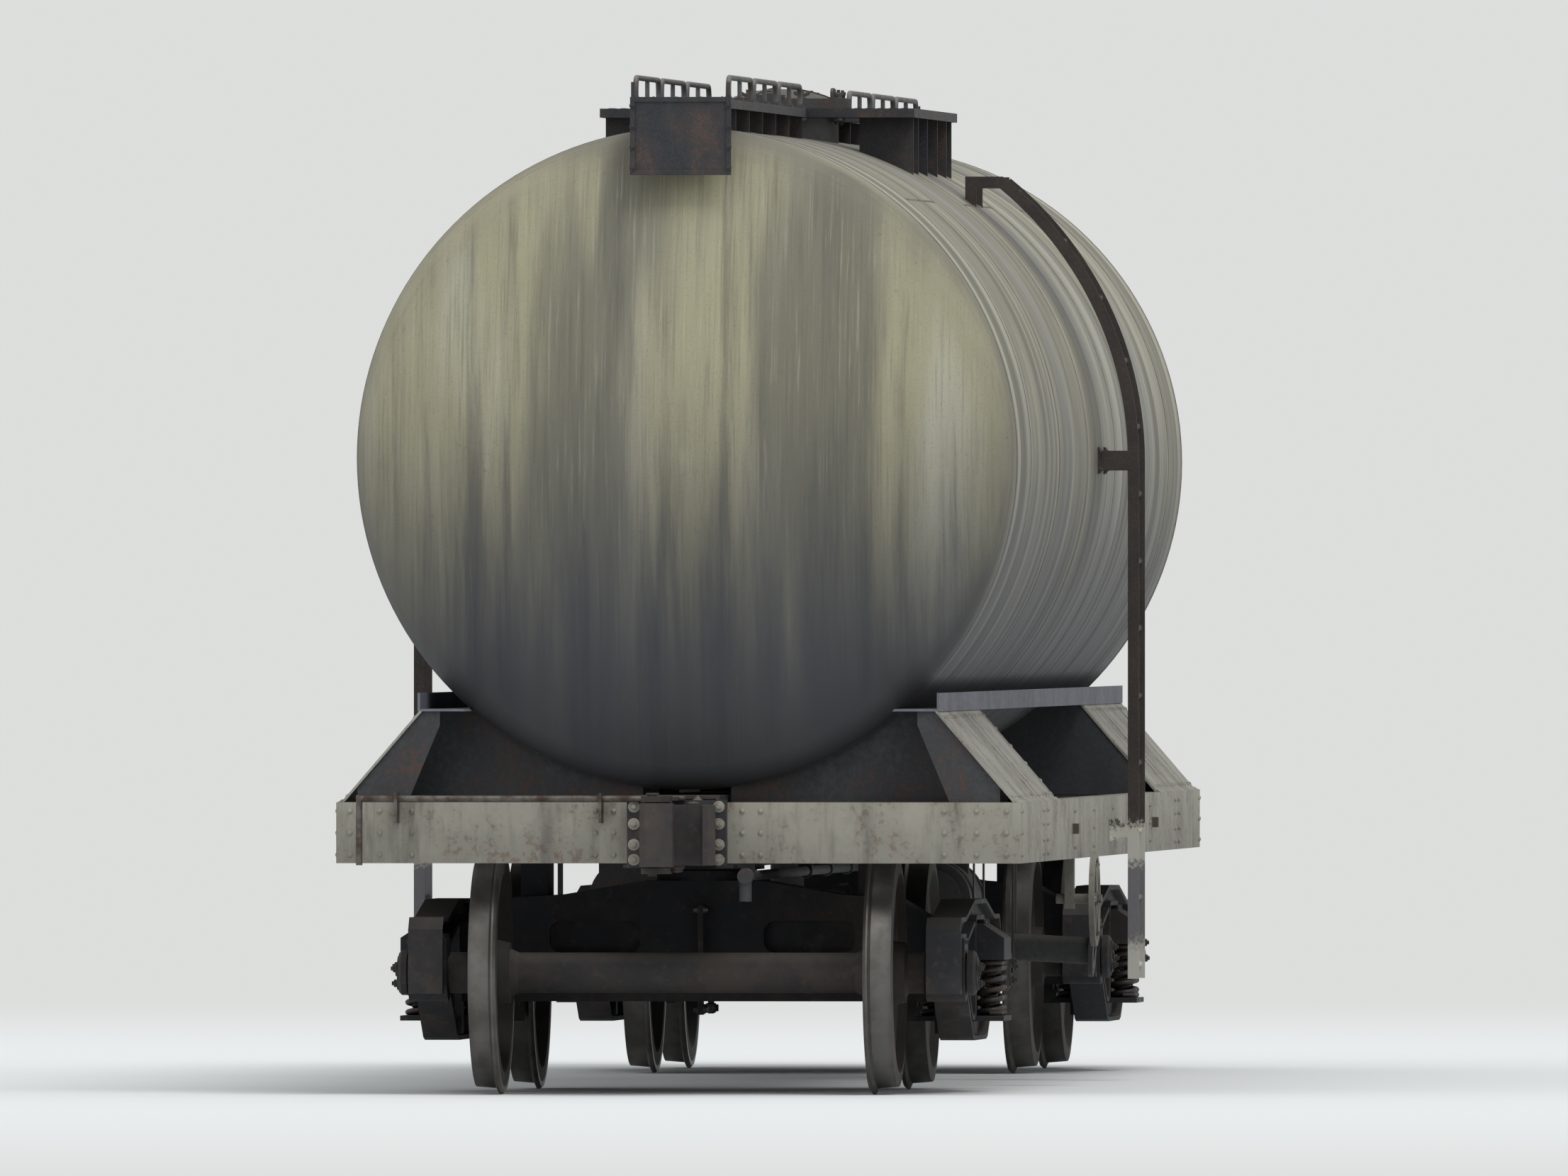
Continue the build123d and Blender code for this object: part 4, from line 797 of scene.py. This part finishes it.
def walkway_trim():
    """Feet under the pipe hoops, and the folded rim and bolts of the end plates."""
    trim = Shape()
    collar = [(0, 0.017), (0.008, 0.0135), (0.012, 0.0118)]
    rim_in = DECK_HALF - RIM
    for turn in (-1, 1):
        for side in (-1, 1):
            for count in range(3):
                near = HOOP_FIRST + count * HOOP_PITCH
                for foot_x in (near, near + HOOP_LENGTH / 2, near + HOOP_LENGTH):
                    x = turn * foot_x
                    slab(trim, (x - 0.042, side * (HOOP_Y - 0.024), DECK_Z - 0.001),
                         (x + 0.042, side * DECK_HALF, DECK_Z + 0.006))
                    lathe(trim, (x, side * HOOP_Y, DECK_Z + 0.005), UP, collar, 16)
                    for way in (-1, 1):
                        bolt(trim, (x + way * 0.029, side * (HOOP_Y - 0.003), DECK_Z + 0.006), UP, 0.01)
        back, front = turn * (END_PLATE_X - 0.001), turn * (END_PLATE_X + 0.006)
        for side in (-1, 1):
            slab(trim, (back, side * DECK_HALF, END_PLATE_LOW), (front, side * rim_in, RIM_TOP))
            for z in (4.03, 4.12, 4.21, 4.3):
                bolt(trim, (front, side * (DECK_HALF - RIM / 2), z), (turn, 0, 0), 0.014)
        for z in (END_PLATE_LOW, RIM_TOP - RIM):
            slab(trim, (back, -rim_in, z), (front, rim_in, z + RIM))
    piece(trim, "walkway_trim", "car", WALKWAY, 0.0012)


def ladder_trim():
    """Brackets and bolts where the ladders are held, and the welds at the ends of the rungs."""
    trim = Shape()
    weld = [(-0.001, 0.018), (0.005, 0.0125), (0.009, 0.0112)]
    for side in (-1, 1):
        pad_in, pad_out = side * (BARREL_R - 0.006), side * (BARREL_R + 0.008)
        foot_out = side * (SOLEBAR_Y + 0.007)
        for x in (-RAIL_X, RAIL_X):
            slab(trim, (x - PAD_HALF, pad_in, BARREL_Z - PAD_RISE),
                 (x + PAD_HALF, pad_out, BARREL_Z + PAD_RISE))
            slab(trim, (x - 0.008, side * BARREL_R, BARREL_Z - 0.044),
                 (x + 0.008, side * (LADDER_R - 0.007), BARREL_Z + 0.044))
            slab(trim, (x - PAD_HALF, side * SOLEBAR_Y, LADDER_FOOT_LOW),
                 (x + PAD_HALF, foot_out, LADDER_FOOT_HIGH))
            for dx in (-0.022, 0.022):
                for dz in (-0.040, 0.040):
                    bolt(trim, (x + dx, pad_out, BARREL_Z + dz), (0, side, 0), 0.016)
            for z in (LADDER_FOOT_LOW + 0.011, LADDER_FOOT_HIGH - 0.011):
                bolt(trim, (x, foot_out, z), (0, side, 0), 0.016)
        places = [(side * LADDER_R, FIRST_RUNG + rung * RUNG_PITCH) for rung in range(8)]
        for step in range(5):
            turn = radians(FIRST_TURN + step * RUNG_TURN)
            places.append((side * LADDER_R * cos(turn), BARREL_Z + LADDER_R * sin(turn)))
        for y, z in places:
            for way in (-1, 1):
                lathe(trim, (way * (LADDER_HALF - 0.012), y, z), (-way, 0, 0), weld, 14)
    piece(trim, "ladder_trim", "car", LADDER, 0.001)


# Underframe

def frame_rivets():
    """Rivets and bolts on the solebars, headstocks and sloping cradle plates."""
    heads = Shape()
    rise = (SLOPE_HEAD - SLOPE_FOOT).normalized()
    pitch = (SLOPE_FAR - SLOPE_NEAR - 2 * SLOPE_EDGE) / (SLOPE_RIVETS - 1)
    along = [SLOPE_NEAR + SLOPE_EDGE + step * pitch for step in range(SLOPE_RIVETS)]
    on_slope = [(x, share) for x in along for share in (0.035, 0.486)]
    on_slope += [(x, share) for x in SADDLES for share in (0.11, 0.21, 0.31, 0.41)]
    for side in (-1, 1):
        for step in range(-2, 3):
            for dx in (-0.028, 0.028):
                for z in BEARER_ROWS:
                    if step or z > LADDER_FOOT_HIGH:
                        rivet(heads, (step * BEARER_PITCH + dx, side * SOLEBAR_Y, z), (0, side, 0), 0.011)
        for turn in (-1, 1):
            for dx in (-0.15, -0.09, 0.09, 0.15):
                for z in BOLSTER_ROWS:
                    rivet(heads, (turn * BOGIE_X + dx, side * SOLEBAR_Y, z), (0, side, 0), 0.012)
            for dx in (0.05, 0.11):
                for z in WEB_ROWS:
                    rivet(heads, (turn * (END_X - dx), side * SOLEBAR_Y, z), (0, side, 0), 0.011)
        for turn in (-1, 1):
            for x, share in on_slope:
                spot = SLOPE_FOOT + rise * share
                rivet(heads, (turn * x, side * spot.y, spot.z), (0, side * rise.z, -rise.y), 0.010)
    for turn in (-1, 1):
        for side in (-1, 1):
            for y in (0.28, 0.36, 1.16, 1.30, 1.43):
                for z in WEB_ROWS:
                    rivet(heads, (turn * END_X, side * y, z), (turn, 0, 0), 0.012)
            for z in (1.025, 1.09, 1.18, 1.255):
                bolt(heads, (turn * STRIKER_X, side * 0.185, z), (turn, 0, 0), 0.026)
        for y in (-0.09, 0.0, 0.09):
            bolt(heads, (turn * (END_X + 0.05), y, STRIKER_TOP - 0.0005), UP, 0.022)
    piece(heads, "frame_rivets", "car", FRAME_PAINT)


def frame_fillets():
    """Weld runs where the cradle plates stand on the solebar and where the saddles lie behind them."""
    welds = Shape()
    rise = (SLOPE_HEAD - SLOPE_FOOT).normalized()
    low, high = SLOPE_FOOT + rise * 0.02, SLOPE_FOOT + rise * 0.50
    foot = [(-0.004, -0.001), (0.016, -0.001), (-0.003, 0.012)]
    for side in (-1, 1):
        for turn in (-1, 1):
            start = (SLOPE_NEAR if turn > 0 else -SLOPE_FAR, side * SLOPE_FOOT.y, SOLEBAR_TOP)
            outline = foot if side < 0 else foot[::-1]
            prism(welds, outline, start, (0, side, 0), UP, (SLOPE_FAR - SLOPE_NEAR) * side)
            for x in SADDLES:
                weld_x = turn * (x + 0.03)
                tube(welds, [(weld_x, side * low.y, low.z), (weld_x, side * high.y, high.z)], 0.005, 6)
    piece(welds, "frame_welds", "car", CRADLE)


# Under the floor

def discharge_fittings():
    """Bolted cover, lever and gland of the bottom outlet valve, and slings that hold the cross pipe."""
    parts = Shape()
    for step in range(10):
        out = outward(tau * step / 10) * 0.118
        for way in (1, -1):
            bolt(parts, OUTLET + out + UP * 0.045 * way, UP * way, 0.018)
    gland = [(0, 0.032), (0.05, 0.032), (0.06, 0.022), (0.09, 0.022)]
    lathe(parts, OUTLET + Vector((0.13, 0, 0)), (1, 0, 0), gland, 16)
    lever = ((0.205, 0, 0), (0.215, 0.05, 0.02), (0.215, 0.34, 0.02))
    tube(parts, [OUTLET + Vector(point) for point in lever], 0.012, 10)
    for side in (-1, 1):
        for reach in (0.42, 1.02):
            y = side * reach * cos(CROSS_PIPE_FALL)
            z = CROSS_PIPE_Z - reach * sin(CROSS_PIPE_FALL)
            sling(parts, (OUTLET.x, y, z), (1, 0, 0), 0.067, 1.0, 0.007, 12)
    piece(parts, "discharge_fittings", "car", UNDERFLOOR, 0.0008)


def brake_fittings():
    """Cylinder head bolts, reservoir straps, pipe slings, lever pins and the hand wheel's nut."""
    parts, pins = Shape(), Shape()
    for step in range(12):
        turn = tau * step / 12
        out = Vector((0, cos(turn), sin(turn))) * 0.189
        bolt(parts, Vector((CYLINDER_X, CYLINDER_Y, RIGGING_Z)) + out, (-1, 0, 0), 0.016)
    for x in (1.1, 1.35):
        hoop(parts, (x, CYLINDER_Y, RIGGING_Z), (1, 0, 0), 0.012, 0.177, 0.184, 40)
    low, high = RESERVOIR_R + 0.001, RESERVOIR_R + 0.008
    for x in (RESERVOIR_X - 0.3, RESERVOIR_X + 0.3):
        hoop(parts, (x, RESERVOIR_Y, RESERVOIR_Z), (1, 0, 0), 0.025,
             RESERVOIR_R - 0.001, RESERVOIR_R + 0.006, 40)
        for side in (-1, 1):
            slab(parts, (x - 0.025, RESERVOIR_Y + side * low, RESERVOIR_Z),
                 (x + 0.025, RESERVOIR_Y + side * high, 1.03))
    drain = [(-0.004, 0.022), (0.008, 0.022), (0.012, 0.014), (0.03, 0.014)]
    lathe(parts, (RESERVOIR_X, RESERVOIR_Y, RESERVOIR_Z - RESERVOIR_R), -UP, drain, 6)
    for step in range(-2, 3):
        sling(parts, (step * BEARER_PITCH, BRAKE_PIPE_Y, BRAKE_PIPE_Z), (0, 1, 0), 0.027, 0.985, 0.005, 10)
    for x, y in LEVER_PINS:
        half = 0.032 if abs(x) < 1 else 0.038
        lathe(pins, (x, y, RIGGING_Z), UP, [(-half, 0.015), (half - 0.008, 0.015), (half - 0.008, 0.022),
                                            (half, 0.022), (half + 0.002, 0.018)], 14)
    lathe(pins, HAND_WHEEL, (0, 1, 0), [(-0.004, 0.03), (0.004, 0.03), (0.006, 0.024)], 14)
    lathe(pins, HAND_WHEEL, (0, 1, 0), [(0.003, 0.02), (0.018, 0.02), (0.022, 0.016)], 6)
    for step in range(6):
        turn = tau * step / 6
        spot = HAND_WHEEL + Vector((HAND_WHEEL_R * cos(turn), -0.001, HAND_WHEEL_R * sin(turn)))
        rivet(pins, spot, (0, 1, 0), 0.009)
    piece(parts, "brake_fittings", "car", UNDERFLOOR, 0.0008)
    piece(pins, "brake_pins", "car", PIN)


# Bogies

def coil(shape, foot, height, mean, wire, turns, sides):
    """A helical spring with closed ends: its wire runs flat for the first and last 3/4 turn."""
    steps, flat = int(turns * 18), 0.75
    path = []
    for step in range(steps + 1):
        turned = turns * step / steps
        share = min(max((turned - flat) / (turns - 2 * flat), 0.0), 1.0)
        lift = wire + share * (height - 2 * wire)
        angle = tau * turned
        path.append((foot[0] + mean * cos(angle), foot[1] + mean * sin(angle), foot[2] + lift))
    tube(shape, path, wire, sides)


def spring_nests(end, direction):
    """Seven double coil springs under each end of the bolster."""
    springs = Shape()
    rows = ((-1, (-0.5, 0.5)), (0, (-1, 0, 1)), (1, (-0.5, 0.5)))
    places = [(column * SPRING_PITCH, row * SPRING_PITCH * sqrt(3) / 2)
              for row, columns in rows for column in columns]
    gap = 0.0003
    for side in (-1, 1):
        for dx, dy in places:
            foot = (direction * BOGIE_X + dx, side * JOURNAL_Y + dy, SPRING_LOW + gap)
            for mean, wire, turns, sides in COILS:
                coil(springs, foot, SPRING_HIGH - SPRING_LOW - 2 * gap, mean, wire, turns, sides)
    made = piece(springs, f"coil_springs_{end}", f"bogie_{end}", SPRING)
    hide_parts(f"springs_{end}")


def bogie_fittings(end, direction):
    """Wear plates, retainer bolts and rivets on the bogie's side frames, and bolts on top of its bolster."""
    parts = Shape()
    middle = direction * BOGIE_X
    face = JOURNAL_Y + 0.033
    for side in (-1, 1):
        for way in (-1, 1):
            column = middle + way * 0.235
            slab(parts, (column, side * (JOURNAL_Y - 0.06), AXLE_Z),
                 (column - way * 0.012, side * (JOURNAL_Y + 0.06), AXLE_Z + 0.21))
            for z in (-0.12, 0.05, 0.16):
                bolt(parts, (column + way * 0.045, side * face, AXLE_Z + z), (0, side, 0), 0.024)
            axle_x = middle + way * AXLE_REACH
            for hand in (-1, 1):
                bolt(parts, (axle_x + hand * 0.18, side * face, AXLE_Z - 0.04), (0, side, 0), 0.022)
            for hand in (-1, 1):
                spot = (axle_x + hand * 0.075, side * (JOURNAL_Y + 0.085), AXLE_Z + 0.135)
                rivet(parts, spot, (0, side, 0), 0.011)
    for side in (-1, 1):
        for dx in (-0.11, 0.11):
            for dy in (-0.035, 0.035):
                bolt(parts, (middle + dx, side * 0.74 + dy, BOLSTER_TOP - 0.02), UP, 0.014)
    piece(parts, f"bogie_fittings_{end}", f"bogie_{end}", CASTING, 0.001)


def beam_fittings(end, direction):
    """Keys and pins of the brake heads and the joints of the bogie's brake levers."""
    parts = Shape()
    middle = direction * BOGIE_X
    pin_head = [(-0.002, 0.022), (0.008, 0.022), (0.01, 0.016), (0.02, 0.016)]
    for way in (-1, 1):
        key_x, lever_x = middle + way * 0.430, middle + way * 0.290
        for side in (-1, 1):
            for z in (-0.13, -0.05):
                bolt(parts, (key_x, side * 0.897, AXLE_Z + z), (0, side, 0), 0.016)
        for z in (-0.165, -0.1, 0.27):
            for hand in (1, -1):
                lathe(parts, (lever_x, hand * 0.012, AXLE_Z + z), (0, hand, 0), pin_head, 12)
    piece(parts, f"beam_fittings_{end}", f"bogie_{end}", PIN)


def cap_bolts(number, direction, side_x):
    """Three bolts and a locking plate on each axle end cap."""
    parts = Shape()
    axle_x = direction * BOGIE_X + side_x * AXLE_REACH
    for side in (-1, 1):
        face = Vector((axle_x, side * CAP_FACE, AXLE_Z))
        lathe(parts, face, (0, side, 0), [(-0.003, 0.074), (0.004, 0.074), (0.006, 0.07), (0.006, 0.0)], 32)
        lathe(parts, face, (0, side, 0), [(0.004, 0.016), (0.016, 0.016), (0.019, 0.0)], 16)
        for step in range(3):
            turn = tau * step / 3 + 0.4 * number
            spot = face + Vector((cos(turn), 0, sin(turn))) * 0.047 + Vector((0, side * 0.006, 0))
            bolt(parts, spot, (0, side, 0), 0.030)
    piece(parts, f"cap_bolts_{number}", f"wheelset_{number}", BRAKE)


# Couplers

def coupler_fittings(end, direction):
    """Ribs on the coupler's shank and head, the lock lifter below and the head of the knuckle's pin."""
    parts = Shape()
    for level in (-1, 1):
        for y in (-0.045, 0.0, 0.045):
            slab(parts, (direction * 5.55, direction * y - 0.006, COUPLER_Z + level * 0.074),
                 (direction * 5.84, direction * y + 0.006, COUPLER_Z + level * 0.0752))
    lifter = [(-0.004, 0.034), (0.012, 0.034), (0.018, 0.026), (0.03, 0.024), (0.034, 0.0)]
    pin_head = [(-0.012, 0.030), (-0.002, 0.030), (-0.001, 0.022)]
    cover = [(-0.003, 0.03), (0.008, 0.03), (0.012, 0.02), (0.016, 0.0)]
    lathe(parts, (direction * 6.04, direction * 0.02, COUPLER_Z - 0.13), -UP, lifter, 18)
    lathe(parts, (direction * KNUCKLE_X, direction * KNUCKLE_Y, COUPLER_Z + 0.1835), UP, pin_head, 18)
    lathe(parts, (direction * 6.03, direction * 0.09, COUPLER_Z + 0.13), UP, cover, 16)
    piece(parts, f"coupler_fittings_{end}", f"coupler_{end}", COUPLER, 0.0006)


# Floor, light and camera

def floor_and_backdrop():
    """A pale floor that fades into the backdrop's colour far from the car."""
    bpy.ops.mesh.primitive_circle_add(vertices=96, radius=90, fill_type="NGON", location=(0, 0, 0))
    floor = bpy.context.object
    floor.name = "floor"
    material = bpy.data.materials.new("floor_paint")
    nodes = Nodes(material, "ShaderNodeOutputMaterial")
    matt = nodes.node("ShaderNodeBsdfDiffuse", Color=FLOOR)
    glow = nodes.node("ShaderNodeEmission", Color=BACKDROP, Strength=1.0)
    place = nodes.node("ShaderNodeTexCoord")
    length = nodes.node("ShaderNodeVectorMath")
    length.operation = "LENGTH"
    nodes.put(length.inputs[0], place.outputs["Object"])
    fade = nodes.smooth(length.outputs["Value"], 9.0, 40.0)
    nodes.show(nodes.mix(nodes.times(fade, nodes.seen()), matt, glow))
    floor.data.materials.append(material)


def light():
    """A soft sky that is brighter overhead, and two large soft lamps from above."""
    world = bpy.data.worlds.new("sky")
    bpy.context.scene.world = world
    nodes = Nodes(world, "ShaderNodeOutputWorld")
    height = nodes.split(nodes.node("ShaderNodeTexCoord").outputs["Generated"])[2]
    sky = nodes.node("ShaderNodeBackground", Color=SKY, Strength=nodes.ramp(height, -0.3, 1.0, 0.42, 0.95))
    seen_sky = nodes.node("ShaderNodeBackground", Color=BACKDROP, Strength=1.0)
    nodes.show(nodes.mix(nodes.seen(), sky, seen_sky))
    lamps = (("key", 1.5, 30, (0.45, 0.35, 1.0)), ("fill", 0.5, 60, (0.9, -0.5, 0.5)))
    for name, energy, angle, turn in lamps:
        lamp = bpy.data.lights.new(name, "SUN")
        lamp.energy = energy
        lamp.angle = radians(angle)
        holder = bpy.data.objects.new(name, lamp)
        bpy.context.scene.collection.objects.link(holder)
        holder.rotation_mode = "QUATERNION"
        holder.rotation_quaternion = Vector(turn).to_track_quat("Z", "Y")


def camera():
    """A very long lens nearly in line with the car, as the photograph was taken."""
    data = bpy.data.cameras.new("camera")
    data.sensor_width = 36.0
    data.lens = CAMERA_LENS
    data.clip_start = 1.0
    data.clip_end = 1000.0
    eye = bpy.data.objects.new("camera", data)
    bpy.context.scene.collection.objects.link(eye)
    turn = radians(CAMERA_AZIMUTH)
    eye.location = (CAMERA_DISTANCE * sin(turn), -CAMERA_DISTANCE * cos(turn), CAMERA_HEIGHT)
    eye.rotation_mode = "QUATERNION"
    eye.rotation_quaternion = (CAMERA_AIM - eye.location).to_track_quat("-Z", "Y")
    bpy.context.scene.camera = eye


weld_seams()
manhole_fittings()
valve_fittings()
deck_tread()
walkway_trim()
ladder_trim()
frame_rivets()
frame_fillets()
discharge_fittings()
brake_fittings()
for end, direction in ENDS:
    spring_nests(end, direction)
    bogie_fittings(end, direction)
    beam_fittings(end, direction)
    coupler_fittings(end, direction)
for number, direction, side_x in AXLES:
    cap_bolts(number, direction, side_x)
floor_and_backdrop()
light()
camera()
bpy.context.scene.view_settings.view_transform = "Standard"
